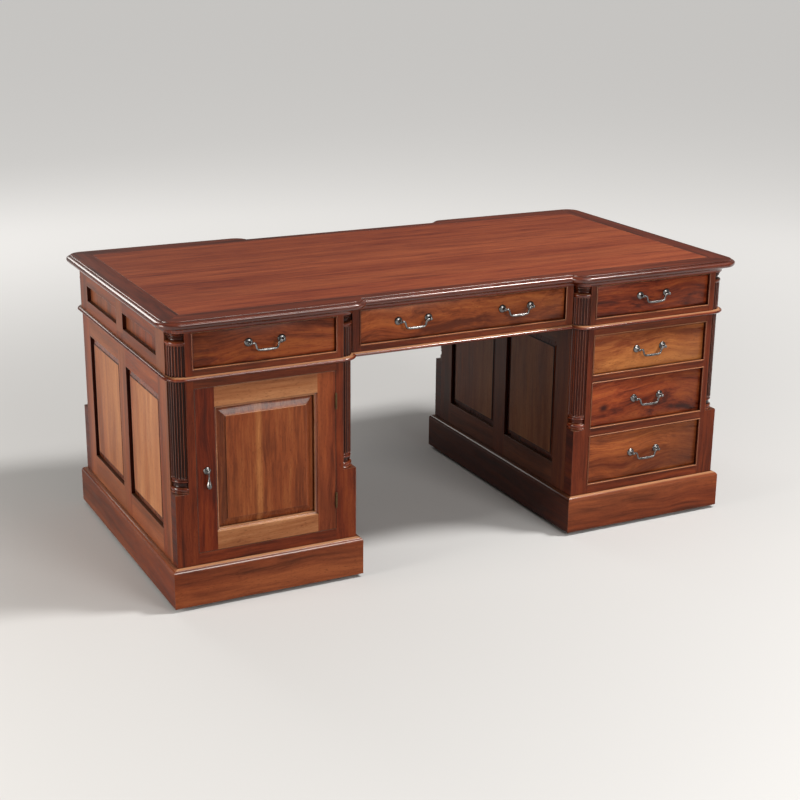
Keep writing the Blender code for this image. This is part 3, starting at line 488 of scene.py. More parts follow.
def ringGrain(number, kind):
    # fibres follow the moulding: along the front and back, across at the ends, turning with the corners
    number, gold, shade = board(number, kind)

    def rule(centre, normal):
        flat = Vector((normal.x, normal.y, 0.0))
        if flat.length < 0.05:
            nearEnd = abs(centre.x) / caseX > abs(centre.y) / caseY
            return (alongY if nearEnd else alongX), (number, gold, shade)
        flat.normalize()
        # painted shade: at the ends of the desk the mouldings are darker
        endShade = 0.34 * between(0.0, (abs(flat.x) - 0.55) / 0.3, 1.0)
        return (-flat.y, flat.x, 0.0), (number, gold, shade - endShade)
    return rule


def arc(start, end, bulge, steps):
    # elliptical quarter from start to end: bulge 1 leaves outward first, -1 leaves along the height first
    points = []
    for angle in quarterTurn(steps):
        one, two = math.sin(angle), 1 - math.cos(angle)
        along, up = (one, two) if bulge > 0 else (two, one)
        points.append((start[0] + (end[0] - start[0]) * along, start[1] + (end[1] - start[1]) * up))
    return points


topEdge = {"corner": 0.0220, "arris": 0.0180, "soft": 0.0006, "bead": 0.0018, "fillet": 0.0022, "quirk": 0.0010,
           "nosing": 0.0310, "nosingDrop": 0.0110, "return": 0.0080, "border": 0.0600, "ledge": 0.0120,
           "fieldThickness": 0.0160}
fieldX = caseX + topEdge["arris"] - topEdge["border"]
fieldY = caseY + topEdge["arris"] - topEdge["border"]


def makeTop():
    # a border with its moulded edge, open in the middle for the field of boards
    t, top, under = topEdge, desk["top"], desk["caseTop"] + hair
    beadOut, beadFoot = t["arris"] + t["bead"], top - t["bead"] - t["fillet"]
    nose = (t["nosing"], top - t["nosingDrop"])
    profile = arc((t["arris"] - t["soft"], top), (beadOut, top - t["bead"]), 1, 5) + [(beadOut, beadFoot)]
    profile += arc((beadOut + t["quirk"], beadFoot), nose, 1, 10)
    profile += arc((t["nosing"] - t["return"], under), nose, 1, 8)[-2::-1]
    rings = [caseLoop(offset, height, t["corner"]) for offset, height in profile]
    base = caseLoop(0.0, 0.0, t["corner"])

    def onRectangle(point, halfX, halfY, height):
        x, y = between(-halfX, point.x, halfX), between(-halfY, point.y, halfY)
        if abs(point.x) < halfX and abs(point.y) < halfY:
            y = math.copysign(halfY, point.y)
        return Vector((x, y, height))

    ledge, floor = t["ledge"], top - t["fieldThickness"]
    for inset, height in ((ledge, under), (ledge, floor), (0.0, floor), (0.0, top)):
        rings.append([onRectangle(point, fieldX - inset, fieldY - inset, height) for point in base])
    bm = ringSolid(rings)
    bmesh.ops.dissolve_degenerate(bm, dist=ringWeld, edges=bm.edges)
    # the mitres run at 45 degrees from the corners of the field
    for sx, sy in corners:
        near = [face for face in bm.faces if face.calc_center_median().x * sx > fieldX * 0.9
                and face.calc_center_median().y * sy > fieldY * 0.8]
        cutAcross(bm, (sx * fieldX, sy * fieldY, top), Vector((sx, -sy, 0.0)).normalized(), near)

    def rule(centre, normal):
        if abs(centre.x) - fieldX > abs(centre.y) - fieldY:
            return alongY, board(4.0 if centre.x > 0 else 5.0, "borderEnd")
        return alongX, board(6.0 if centre.y > 0 else 7.0, "borderLength")

    finish("topBorderMoulded", setGrain(bm, rule), ["top_moulded_border"], borderWood, smoothAngle=32.0)


# jitter moves the seams off their even places; tones are gold and shade
boards = {"jitter": (0.0, 0.006, -0.004, 0.003, -0.007, 0.005, -0.002), "number": 10.0, "step": 1.7,
          "tones": ((0.15, 0.03), (0.35, 0.0), (0.1, -0.05), (0.3, 0.04), (0.2, -0.03), (0.05, -0.06),
                    (0.15, -0.02))}


def makeField():
    # lengthwise boards, glued edge to edge, each with its own tone
    b = boards
    low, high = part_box("top_field_panel")
    width = (high.y - low.y) / len(b["tones"])
    seams = [low.y + width * index + b["jitter"][index] for index in range(1, len(b["tones"]))]
    bm = easedBox(low, high, 0.0)
    for seam in seams:
        cutAcross(bm, (0, seam, 0), alongY)

    def rule(centre, normal):
        index = sum(centre.y > seam for seam in seams)
        return alongX, (b["number"] + index * b["step"], *b["tones"][index])

    finish("topFieldBoards", setGrain(bm, rule), ["top_field_panel"], topWood)


makeTop()
makeField()

cove = {"foot": 0.0016, "soft": 0.0004, "height": 0.0169, "reach": 0.0175, "steps": 12}
waist = {"reach": 0.0100, "inner": 0.0300, "steps": 10}


def makeMouldings():
    # the cove lies under the top, the half round of the waist between case and pedestals
    c, w, top = cove, waist, desk["caseTop"]
    foot, bottom = hair + c["foot"], top - c["height"]
    hollow = [(hair, bottom), (foot - c["soft"], bottom), (foot, bottom + c["soft"])]
    hollow += arc((foot, bottom + c["foot"]), (c["reach"], top - c["foot"]), -1, c["steps"])
    hollow += [(c["reach"], top), (hair, top)]
    low, high = desk["pedestalTop"] + hair, desk["caseBase"] - hair
    nose = (w["reach"], (low + high) / 2)
    halfRound = [(-w["inner"], high), (-w["inner"], low)] + arc((0.0, low), nose, 1, w["steps"])
    halfRound += arc((0.0, high), nose, 1, w["steps"])[-2::-1]
    for name, node, profile, number, kind in (("coveUnderTop", "top_cove_moulding", hollow, 21.0, "cove"),
                                              ("waistMoulding", "waist_moulding", halfRound, 22.0, "waist")):
        bm = ringSolid([caseLoop(offset, height) for offset, height in profile])
        finish(name, setGrain(bm, ringGrain(number, kind)), [node])


makeMouldings()
print("desk: top and mouldings made")


def stileRule(middleHalf, number):
    # stiles stand upright outside the openings, rails run across between them and over all of the middle
    def rule(centre, normal):
        # beads are painted pale for a highlight, and the walls of the openings dark for painted shade
        if max(abs(part) for part in normal) < 0.99:
            return alongX if abs(normal.x) < 0.1 else alongZ, board(number + 9, "bead")
        if abs(normal.y) < 0.1:
            return alongY, board(number + 8, "shadedOpeningWall")
        if abs(abs(centre.x) - pedestalX) > openingHalf and abs(centre.x) >= middleHalf:
            side = 1 if centre.x > 0 else 2
            outer = 0.5 if abs(centre.x) > pedestalX else 0.0
            return alongZ, board(number + side + outer, "stile")
        level = math.floor(centre.z * 11.0)
        return alongX, board(number + 3 + level * 0.37 + (0.0 if centre.x > 0 else 0.8), "rail")
    return rule


def stileCuts(middleHalf):
    edges = [pedestalX - openingHalf, pedestalX + openingHalf] + ([middleHalf] if middleHalf else [])
    return [((side * edge, 0, 0), alongX) for side in (-1, 1) for edge in edges]


# the panels of pedestal sides and of frieze ends: distance from the middle, and height
sidePanels = {"inner": 0.0340, "outer": 0.3178, "low": 0.1923, "high": 0.5665}
endPanels = {"inner": 0.0300, "outer": 0.3180, "low": 0.6720, "high": 0.7180}


def sideRule(panels, number, kind):
    # a frame that faces sideways: stiles and panels upright, rails along the depth
    inner, outer, low, high = (panels[key] for key in ("inner", "outer", "low", "high"))
    near = 0.002

    def rule(centre, normal):
        away, back = abs(centre.y), centre.y > 0
        # painted shade: the walls of the sunk panels are dark
        if abs(normal.x) < 0.5 and inner - near < away < outer + near and low - near < centre.z < high + near:
            return alongZ, board(number, "shadedRecessWall")
        if inner < away < outer:
            rear = 1.3 if back else 0.0
            if low < centre.z < high:
                return alongZ, board(number + 5 + rear, kind + "Panel")
            return alongY, board(number + (1 if centre.z > high else 2) + rear, kind + "Frame")
        return alongZ, board(number + (3 if away > outer else 4) + (0.4 if back else 0.0), kind + "Frame")
    return rule


def sideCuts(panels):
    return [((0, side * panels[key], 0), alongY) for side in (-1, 1) for key in ("inner", "outer")]


fields = {"recess": 0.0110, "bevel": 0.0190, "rise": 0.0064, "step": 0.0018, "line": 0.0022, "soft": 0.0005}


def makeFields(name, number, kind):
    # raised fields on the sunk panels of a pedestal side, bevelled down to the frame all round
    f, (inner, outer, bottom, top) = fields, sidePanels.values()
    side = -1 if "left" in name else 1
    way = side if "outer" in name else -side
    floor = side * pedestalX + way * (pedestalHalf - f["recess"])
    shapes = []
    for low, high in ((-outer, -inner), (inner, outer)):
        rings = []
        for inset, rise in ((hair, -0.0004), (hair, 0.0006), (f["bevel"], f["rise"] - f["step"]),
                            (f["bevel"] + 0.0002, f["rise"] - 0.0002), (f["bevel"] + f["soft"], f["rise"]),
                            (f["bevel"] + f["soft"] + f["line"], f["rise"])):
            rings.append([Vector((floor + way * rise, y, z)) for y, z in (
                (low + inset, bottom + inset), (high - inset, bottom + inset),
                (high - inset, top - inset), (low + inset, top - inset))])
        shapes.append(ringSolid(rings, False))
    gold, shade = tones[kind + "Panel"]

    def rule(centre, normal):
        reach = max(abs(abs(centre.y) - (inner + outer) / 2) - (outer - inner) / 2,
                    abs(centre.z - (bottom + top) / 2) - (top - bottom) / 2)
        if abs(normal.x) > 0.995 and reach < -0.05:
            return alongZ, (number + (1.7 if centre.y > 0 else 0.0), gold, shade + 0.12)
        # the bevels are darker, and a painted shade draws a dark line round the field
        return alongZ, (number + 3.0, 0.2, shade - (0.20 if 0.8 < abs(normal.x) < 0.995 else 0.75))

    finish(name + "Fields", setGrain(joinShapes(shapes), rule), smoothAngle=12.0)


def makeCarcase():
    # each board has its own run of grain
    for name, number, middleHalf in (
            ("frieze_front_frame", 30.0, desk["middleHalf"]), ("frieze_back_frame", 36.0, desk["middleHalf"]),
            ("left_front_frame", 42.0, 0.0), ("right_front_frame", 47.0, 0.0),
            ("left_back_panel", 52.0, 0.0), ("right_back_panel", 57.0, 0.0)):
        dressNode(name, stileRule(middleHalf, number), stileCuts(middleHalf))
    for name, number in (("left_outer_side", 62.0), ("left_inner_side", 69.0),
                         ("right_inner_side", 76.0), ("right_outer_side", 83.0)):
        kind = "inner" if "inner" in name else "outer"
        dressNode(name, sideRule(sidePanels, number, kind), sideCuts(sidePanels))
        makeFields(name, number + 6.0, kind)
    for name, number in (("frieze_left_end", 90.0), ("frieze_right_end", 97.0)):
        dressNode(name, sideRule(endPanels, number, "end"), sideCuts(endPanels))
    for name, number in (("frieze_left_divider", 104.0), ("frieze_right_divider", 106.0)):
        dressNode(name, oneBoard(alongY, number, "divider"))
    hidden = ("left_dust_board", "right_dust_board", "left_bottom_board", "right_bottom_board", "left_shelf",
              "right_lower_web_frame", "right_upper_web_frame")
    for number, name in enumerate(hidden, 110):
        dressNode(name, oneBoard(alongX, number, "hidden"), material=liningWood)


makeCarcase()
print("desk: carcase made")

plinth = {"out": 0.0155, "wall": 0.0400, "rounding": 0.0120, "soft": 0.0008, "glide": 0.0100,
          "glideRadius": 0.0160, "glideSoft": 0.0015, "glideInset": 0.0480, "block": 0.0740, "blockTop": 0.0785}


def makePlinth(side, number):
    # skirting mitred at the corners and rounded above, with corner blocks, on glides
    p, out, radius = plinth, plinth["out"], plinth["glideRadius"]
    centre = pedestalX * (1 if side == "right" else -1)
    profile = [(out - p["wall"], desk["plinthTop"]), (out - p["wall"], p["glide"]),
               (out - p["soft"], p["glide"]), (out, p["glide"] + p["soft"])]
    profile += arc((out, desk["plinthTop"] - p["rounding"]), (out - p["rounding"], desk["plinthTop"]), -1, 10)
    rings = []
    for grow, height in profile:
        x, y = pedestalHalf + grow, pedestalY + grow
        rings.append([Vector((centre + sx * x, sy * y, height))
                      for sx, sy in ((-1, -1), (1, -1), (1, 1), (-1, 1))])

    def rule(middle, normal):
        onRight = middle.x > centre
        if abs(middle.x - centre) - pedestalHalf > abs(middle.y) - pedestalY:
            # painted shade: the ends are darker than the front, those that face the kneehole darkest
            kind = "plinthKneeholeShade" if onRight == (side == "left") else "plinthOuterEndShade"
            return alongY, board(number + (0.0 if onRight else 1.1), kind)
        return alongX, board(number + (2.3 if middle.y > 0 else 3.1), "plinthLength")

    finish(side + "PlinthSkirting", setGrain(ringSolid(rings), rule), [side + "_plinth"])
    blocks, glides = [], []
    for sx, sy in corners:
        xs = sorted(centre + sx * (pedestalHalf + out - p["wall"]) - sx * back for back in (0.0, p["block"]))
        ys = sorted(sy * (pedestalY + out - p["wall"]) - sy * back for back in (0.0, p["block"]))
        blocks.append(easedBox((xs[0], ys[0], p["glide"]), (xs[1], ys[1], p["blockTop"])))
        foot = (centre + sx * (pedestalHalf + out - p["glideInset"]),
                sy * (pedestalY + out - p["glideInset"]), 0.0)
        profile = [(radius - p["glideSoft"], 0.0), (radius, p["glideSoft"]), (radius, p["glide"])]
        glides.append(lathe(profile, foot, 32, "Z"))
    finish(side + "PlinthBlocks", setGrain(joinShapes(blocks), oneBoard(alongZ, number + 4.0, "block")),
           material=liningWood)
    finish(side + "PlinthGlides", setGrain(joinShapes(glides), oneBoard(alongX, number + 5.0, "glide")))


makePlinth("left", 120.0)
makePlinth("right", 127.0)
print("desk: plinths made")

# points are those round the corner and up the height
column = {"flutes": 7, "fluteShare": 0.82, "fluteDepth": 0.0032, "fluteStop": 0.0008, "clearance": 0.0010,
          "shaftInset": 0.0018, "overlap": 0.0005, "baseHeight": 0.0412, "capitalDrop": 0.0500,
          "shaftPoints": (87, 150), "turnedPoints": (21, 68)}


def newTree(name, inputs):
    # a Geometry Nodes tree, the call that adds a node to it, and its named inputs
    tree = bpy.data.node_groups.new(name, "GeometryNodeTree")
    for label, kind in inputs.items():
        tree.interface.new_socket(label, in_out="INPUT", socket_type="NodeSocket" + kind)
    tree.interface.new_socket("Geometry", in_out="OUTPUT", socket_type="NodeSocketGeometry")
    add = partial(put, tree)
    return tree, add, add("NodeGroupInput").outputs


def endTree(add, shape, material):
    real = add("GeometryNodeRealizeInstances", (shape,))
    add("NodeGroupOutput", (add("GeometryNodeSetMaterial", {"Geometry": real, "Material": material}),))


def columnTree(name, profile):
    # bends a grid round the corner; profile holds pairs of height and radius shares, or None to press flutes in
    tree, add, given = newTree(name, {
        "Radius": "Float", "Height": "Float", "Bottom": "Float", "Flutes": "Int", "Flute Depth": "Float",
        "Flute Share": "Float", "Flute Stop": "Float", "Stopped End": "Float", "Arc Points": "Int",
        "Height Points": "Int", "Material": "Material"})
    grid = add("GeometryNodeMeshGrid", {"Size X": 1.0, "Size Y": 1.0, "Vertices X": given["Arc Points"],
                                        "Vertices Y": given["Height Points"]})
    spot = add("SeparateXYZ", (add("GeometryNodeInputPosition"),)).outputs
    sides = []
    for place, count in ((spot["X"], given["Arc Points"]), (spot["Y"], given["Height Points"])):
        # the first and the last row are spare, and close the solid at its axis or at its end
        last = add("Math SUBTRACT", (count, 1.0))
        step = add("Math MULTIPLY", (add("Math ADD", (place, 0.5)), last))
        share = add("Math DIVIDE", (add("Math SUBTRACT", (step, 1.0)), add("Math SUBTRACT", (count, 3.0))),
                    use_clamp=True)
        spare = add("Math MAXIMUM", (add("Math COMPARE", (step, 0.0, 0.5)), add("Math COMPARE", (step, last, 0.5))))
        sides.append((share, spare))
    (turn, inCore), (rise, atEnd) = sides
    if profile:
        curve = add("FloatCurve", {"Value": rise})
        points = curve.mapping.curves[0].points
        points[0].location, points[1].location = profile[0], profile[-1]
        for location in profile[1:-1]:
            points.new(*location)
        for point in points:
            point.handle_type = "AUTO_CLAMPED"
        curve.mapping.update()
        radius = add("Math MULTIPLY", (curve, given["Radius"]))
    else:
        phase = add("Math FRACT", (add("Math MULTIPLY", (turn, given["Flutes"])),))
        offCentre = add("Math ABSOLUTE", (add("Math SUBTRACT", (phase, 0.5)),))
        away = add("Math DIVIDE", (offCentre, add("Math MULTIPLY", (given["Flute Share"], 0.5))))
        inside = add("Math MAXIMUM", (add("Math SUBTRACT", (1.0, add("Math MULTIPLY", (away, away)))), 0.0))
        # each flute ends round at the turned end of the shaft and runs out under the waist at the other
        fromEnd = add("Math ABSOLUTE", (add("Math SUBTRACT", (rise, given["Stopped End"])),))
        past = add("Math SUBTRACT", (add("Math MULTIPLY", (fromEnd, given["Height"])), given["Flute Stop"]))
        fade = add("Math DIVIDE", (past, given["Flute Depth"]), use_clamp=True)
        depth = add("Math MULTIPLY", (add("Math SQRT", (inside,)), given["Flute Depth"]))
        depth = add("Math MULTIPLY", (depth, add("Math SQRT", (fade,))))
        radius = add("Math SUBTRACT", (given["Radius"], depth))
    kept = add("Math SUBTRACT", (1.0, add("Math MAXIMUM", (inCore, atEnd))))
    radius = add("Math MULTIPLY", (radius, kept))
    angle = add("Math MULTIPLY", (turn, math.pi / 2))
    x = add("Math MULTIPLY", (radius, add("Math SINE", (angle,))))
    y = add("Math MULTIPLY", (add("Math MULTIPLY", (radius, add("Math COSINE", (angle,)))), -1.0))
    z = add("Math MULTIPLY_ADD", (rise, given["Height"], given["Bottom"]))
    bent = add("GeometryNodeSetPosition", {"Geometry": grid, "Position": add("CombineXYZ", (x, y, z))})
    endTree(add, add("GeometryNodeMergeByDistance", {"Geometry": bent, "Distance": weld}), given["Material"])
    return tree


def runTree(tree, values, source=None):
    # evaluates a tree once and returns its plain mesh
    holder = show("holder", source or bpy.data.meshes.new("holder"))
    modifier = holder.modifiers.new("build", "NODES")
    modifier.node_group = tree
    for item in tree.interface.items_tree:
        if item.item_type == "SOCKET" and item.in_out == "INPUT" and item.name in values:
            modifier[item.identifier] = values[item.name]
    graph = bpy.context.evaluated_depsgraph_get()
    mesh = bpy.data.meshes.new_from_object(holder.evaluated_get(graph))
    bpy.data.objects.remove(holder)
    return mesh


# heights and radii are shares; full radius is the rebate
baseTurning = [(0.0, 1.0), (0.09, 1.0), (0.105, 0.97), (0.12, 0.955), (0.14, 0.965), (0.19, 0.99), (0.26, 1.0),
               (0.33, 0.99), (0.38, 0.955), (0.40, 0.91), (0.43, 0.87), (0.50, 0.84), (0.58, 0.835), (0.66, 0.845),
               (0.71, 0.87), (0.73, 0.91), (0.76, 0.945), (0.79, 0.955), (0.82, 0.945), (0.85, 0.91), (0.88, 0.90),
               (0.92, 0.925), (0.96, 0.935), (1.0, 0.93)]
capitalTurning = [(0.0, 0.945), (0.03, 0.95), (0.05, 0.975), (0.09, 0.998), (0.13, 1.0), (0.17, 0.99),
                  (0.20, 0.955), (0.215, 0.90), (0.235, 0.86), (0.28, 0.80), (0.33, 0.784), (0.37, 0.79),
                  (0.385, 0.83), (0.41, 0.865), (0.436, 0.87), (0.455, 0.855), (0.47, 0.82), (0.485, 0.82),
                  (0.505, 0.87), (0.535, 0.93), (0.56, 0.925), (0.58, 0.89), (0.60, 0.895), (0.63, 0.96),
                  (0.66, 1.0), (0.70, 1.0), (1.0, 1.0)]
shaftTree = columnTree("fluted quarter shaft", None)
baseTree = columnTree("turned quarter base", baseTurning)
capitalTree = columnTree("turned quarter capital", capitalTurning)


def makeColumnShapes():
    # a fluted shaft for each kind, stopped at the end that meets its turned base or capital
    c, shapes = column, {}
    capitalBase = desk["caseTop"] - c["capitalDrop"]
    for kind, rebate, low, high, stopped, turnedTree, turnedLow, turnedHeight in (
            ("lower", desk["lowRebate"], desk["blockTop"] + c["baseHeight"] - c["overlap"], desk["pedestalTop"],
             0.0, baseTree, desk["blockTop"] + hair, c["baseHeight"]),
            ("upper", desk["caseRebate"], desk["caseBase"], capitalBase + c["overlap"],
             1.0, capitalTree, capitalBase, c["capitalDrop"])):
        full = rebate - c["clearance"]
        parts = []
        for tree, points, values in (
                (shaftTree, c["shaftPoints"],
                 {"Radius": full - c["shaftInset"], "Height": high - low, "Bottom": low, "Flutes": c["flutes"],
                  "Flute Depth": c["fluteDepth"], "Flute Share": c["fluteShare"], "Flute Stop": c["fluteStop"],
                  "Stopped End": stopped}),
                (turnedTree, c["turnedPoints"], {"Radius": full, "Height": turnedHeight, "Bottom": turnedLow})):
            parts.append(runTree(tree, {**values, "Arc Points": points[0], "Height Points": points[1],
                                        "Material": carcaseWood}))
        shapes[kind] = toMesh(fromMeshes(*parts))
    return shapes


def hollowShadeRule(centre, radius, number, shade):
    # dark wax and painted shade in the flutes and in the hollows of the turnings
    def rule(middle, normal):
        depth = radius - math.hypot(middle.x - centre[0], middle.y - centre[1])
        return alongZ, (number, 0.05, shade - 0.66 * between(0.0, (depth - 0.0018) / 0.0030, 1.0))
    return rule


def placeColumn(shape, name, centre, flipX, flipY, number, instead=()):
    bm = fromMeshes(shape.copy())
    bm.transform(Matrix.Translation((*centre, 0.0)) @ Matrix.Diagonal((flipX, flipY, 1.0, 1.0)))
    bmesh.ops.recalc_face_normals(bm, faces=bm.faces)
    full = (desk["caseRebate"] if "upper" in name else desk["lowRebate"]) - column["clearance"]
    # painted light: the column that meets the light from the right front is painted lighter, keeping its ridges
    # brown
    shade = 0.20 if "right_inner" in name else -0.15
    finish(name, setGrain(bm, hollowShadeRule(centre, full, number, shade)), instead, smoothAngle=40.0)


def makeColumns():
    shapes = makeColumnShapes()
    upper, lower, half = desk["caseRebate"], desk["lowRebate"], pedestalHalf
    upperX = {"outer": caseX - upper, "inner": pedestalX - half - desk["setback"] + upper}
    lowerX = {"outer": pedestalX + half - lower, "inner": pedestalX - half + lower}
    number = 140.0
    for sideName, side in (("left", -1), ("right", 1)):
        for place, way in (("outer", 1), ("inner", -1)):
            for kind, xs, y in (("upper", upperX, caseY - upper),
                                ("lower", lowerX, pedestalY - lower)):
                x = side * (xs[place] + way * hair)
                node = f"{sideName}_{place}_{kind}_column"
                placeColumn(shapes[kind], node + "Fluted", (x, -y - hair), side * way, 1.0, number, [node])
                placeColumn(shapes[kind], node + "FlutedBack", (x, y + hair), side * way, -1.0, number + 0.5)
                number += 1.3


makeColumns()
print("desk: columns made")

# tone is a front's board, and fade how much darker its right end is than its left, a painted light falloff
drawers = {
    "left_frieze_drawer": {"tone": (160.0, 0.25, -0.04), "fade": -0.36, "handles": [-pedestalX], "z": 0.7100},
    "centre_frieze_drawer": {"tone": (163.7, 0.55, 0.20), "fade": 0.48, "handles": [-0.163, 0.163], "z": 0.7100},
    "right_frieze_drawer": {"tone": (167.1, 0.10, 0.07), "fade": 0.10, "handles": [pedestalX], "z": 0.7100},
    "upper_pedestal_drawer": {"tone": (171.3, 0.95, 0.01), "fade": 0.36, "handles": [pedestalX], "z": 0.54802},
    "middle_pedestal_drawer": {"tone": (175.9, 0.20, 0.02), "fade": 0.74, "handles": [pedestalX], "z": 0.39580},
    "lower_pedestal_drawer": {"tone": (179.4, 0.50, 0.0), "fade": 0.60, "handles": [pedestalX], "z": 0.22553},
}
# fronts are planed a little narrower than the opening, so that a dark line shows at their ends
front = {"thickness": 0.0190, "ends": 0.0009, "below": 0.0003, "above": 0.0004, "ease": 0.0007}
handle = {"spacing": 0.0920, "roseRadius": 0.0115, "roseHeight": 0.0060, "roseFoot": 0.0010, "post": 0.0031,
          "length": 0.0215, "knob": 0.0046, "out": 0.0169, "wire": 0.0028, "grip": 0.0009, "journal": 0.0048,
          "elbow": 0.0036, "pinch": 0.0020, "corner": 0.0098, "drop": 0.0193, "bow": 0.0006,
          "wireSides": 16, "wirePoints": 120}


def roseShape(x, faceY, z):
    h = handle
    radius, height, foot, post = h["roseRadius"], h["roseHeight"], h["roseFoot"], h["post"]
    shoulder = h["length"] - 2 * h["knob"]
    profile = [(radius - 0.0006, -0.0008), (radius, 0.0004), (radius, foot)]
    # a dome like a button, with the post rising from its middle
    profile += [(radius * math.cos(angle), foot + (height - foot) * math.sin(angle))
                for angle in quarterTurn(10)[1:-1]]
    profile = [point for point in profile if point[0] > post * 1.4]
    profile += [(post * 1.3, height), (post * 1.02, height + 0.0012), (post * 0.94, height + 0.0030),
                (post, shoulder)]
    for step in range(1, 12):
        angle = math.pi * step / 12
        profile.append((h["knob"] * math.sin(angle), shoulder + h["knob"] * (1 - math.cos(angle))))
    return lathe(profile + [(0.0004, h["length"])], (x, faceY, z), 36)


def bailTree():
    # a wire along the drop's curve, thicker at the grip
    tree, add, given = newTree("bail wire", {"Curve": "Geometry", "Wire": "Float", "Grip": "Float", "Sides": "Int",
                                             "Points": "Int", "Material": "Material"})
    path = add("GeometryNodeResampleCurve", {"Curve": given["Curve"], "Count": given["Points"]})
    share = add("GeometryNodeSplineParameter").outputs["Factor"]
    away = add("Math ABSOLUTE", (add("Math SUBTRACT", (share, 0.5)),))
    near = add("MapRange", (away, 0.0, 0.34, 1.0, 0.0), interpolation_type="SMOOTHSTEP")
    swollen = add("Math MULTIPLY_ADD", (near, given["Grip"], given["Wire"]))
    ring = add("GeometryNodeCurvePrimitiveCircle", {"Resolution": given["Sides"], "Radius": 1.0})
    wire = add("GeometryNodeCurveToMesh", {"Curve": path, "Profile Curve": ring, "Scale": swollen,
                                           "Fill Caps": True})
    endTree(add, wire, given["Material"])
    return tree


wireTree = bailTree()


def bailPath():
    # from one tip to the middle of the grip, then mirrored
    h = handle
    tip = h["spacing"] / 2 - h["knob"] - hair
    arm = tip - h["journal"] - h["elbow"]
    grip = arm - h["pinch"] - h["corner"]
    side = h["drop"] - h["elbow"] - h["corner"]
    path = [(tip, 0.0)]
    for angle in quarterTurn(8):
        path.append((arm + h["elbow"] * (1 - math.sin(angle)), -h["elbow"] * (1 - math.cos(angle))))
    for step in range(1, 8):
        share = step / 8
        path.append((arm - h["pinch"] * share ** 1.6, -h["elbow"] - side * share))
    for angle in quarterTurn(8):
        path.append((grip + h["corner"] * math.cos(angle), h["corner"] * (1 - math.sin(angle)) - h["drop"]))
    for step in range(1, 7):
        # the grip bows down a little between its corners
        share = step / 6
        path.append((grip * (1 - share), -h["drop"] - h["bow"] * math.sin(math.pi / 2 * share)))
    return path + [(-x, z) for x, z in path[-2::-1]]


def bailShape(centre):
    curve = bpy.data.curves.new("bail", "CURVE")
    curve.dimensions = "3D"
    path = bailPath()
    spline = curve.splines.new("POLY")
    spline.points.add(len(path) - 1)
    for point, (x, z) in zip(spline.points, path):
        point.co = (centre[0] + x, centre[1], centre[2] + z, 1.0)
    h = handle
    mesh = runTree(wireTree, {"Wire": h["wire"], "Grip": h["grip"], "Sides": h["wireSides"],
                              "Points": h["wirePoints"], "Material": agedNickel}, curve)
    bpy.data.curves.remove(curve)
    bm = fromMeshes(mesh)
    bmesh.ops.recalc_face_normals(bm, faces=bm.faces)
    return toMesh(bm)


def paintedFalloffAlong(mesh, tone, fade):
    # painted light: a front is painted lighter toward one end and darker toward the other, for light falling off
    # across it
    mesh.attributes.remove(mesh.attributes["stock"])
    stock = mesh.attributes.new("stock", "FLOAT_VECTOR", "POINT")
    places = [vertex.co.x for vertex in mesh.vertices]
    middle, half = (min(places) + max(places)) / 2, (max(places) - min(places)) / 2
    for vertex, x in zip(mesh.vertices, places):
        stock.data[vertex.index].vector = (tone[0], tone[1], tone[2] - fade / 2 * (x - middle) / half)
    return mesh


def makeDrawers():
    for name, look in drawers.items():
        low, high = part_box(name + "_front")
        faceY, tone = high.y - front["thickness"], look["tone"]
        plank = easedBox((low.x + front["ends"], faceY, low.z - front["below"]),
                         (high.x - front["ends"], high.y, high.z - front["above"]), front["ease"])
        mesh = paintedFalloffAlong(setGrain(plank, lambda centre, normal: (alongX, tone)), tone, look["fade"])
        finish(name + "FrontBoard", mesh, [name + "_front"], faceWood, name, 30.0)
        roses = [roseShape(x + side * handle["spacing"] / 2, faceY, look["z"])
                 for x in look["handles"] for side in (-1, 1)]
        finish(name + "Roses", toMesh(joinShapes(roses)), (), agedNickel, name)
        mesh = setGrain(copyNode(name + "_box"), oneBoard(alongY, tone[0] + 9.0, "box"))
        finish(name + "BoxWood", mesh, [name + "_box"], liningWood, name)
        labels = [""] if len(look["handles"]) == 1 else ["_left", "_right"]
        for x, label in zip(look["handles"], labels):
            body = name + label + "_bail"
            mesh = bailShape((x, faceY - handle["out"], look["z"]))
            finish(body + "Wire", mesh, [body], agedNickel, body, 60.0)


makeDrawers()
print("desk: drawers and handles made")

# sapAt is the share of the panel's width where its pale streak runs, and sap how far it reaches as it fades
door = {"thickness": 0.0200, "stile": 0.0600, "topRail": 0.0610, "bottomRail": 0.0580, "soft": 0.0008,
        "stickWidth": 0.0065, "stickDepth": 0.0070, "quirk": 0.0012, "quirkWidth": 0.0006, "rebate": 0.0080,
        "tongue": 0.0050, "tuck": 0.0015, "bevel": 0.0235, "sag": 0.0009, "step": 0.0030, "rise": 0.0110,
        "sapAt": 0.42, "sap": (0.005, 0.008, 0.011)}


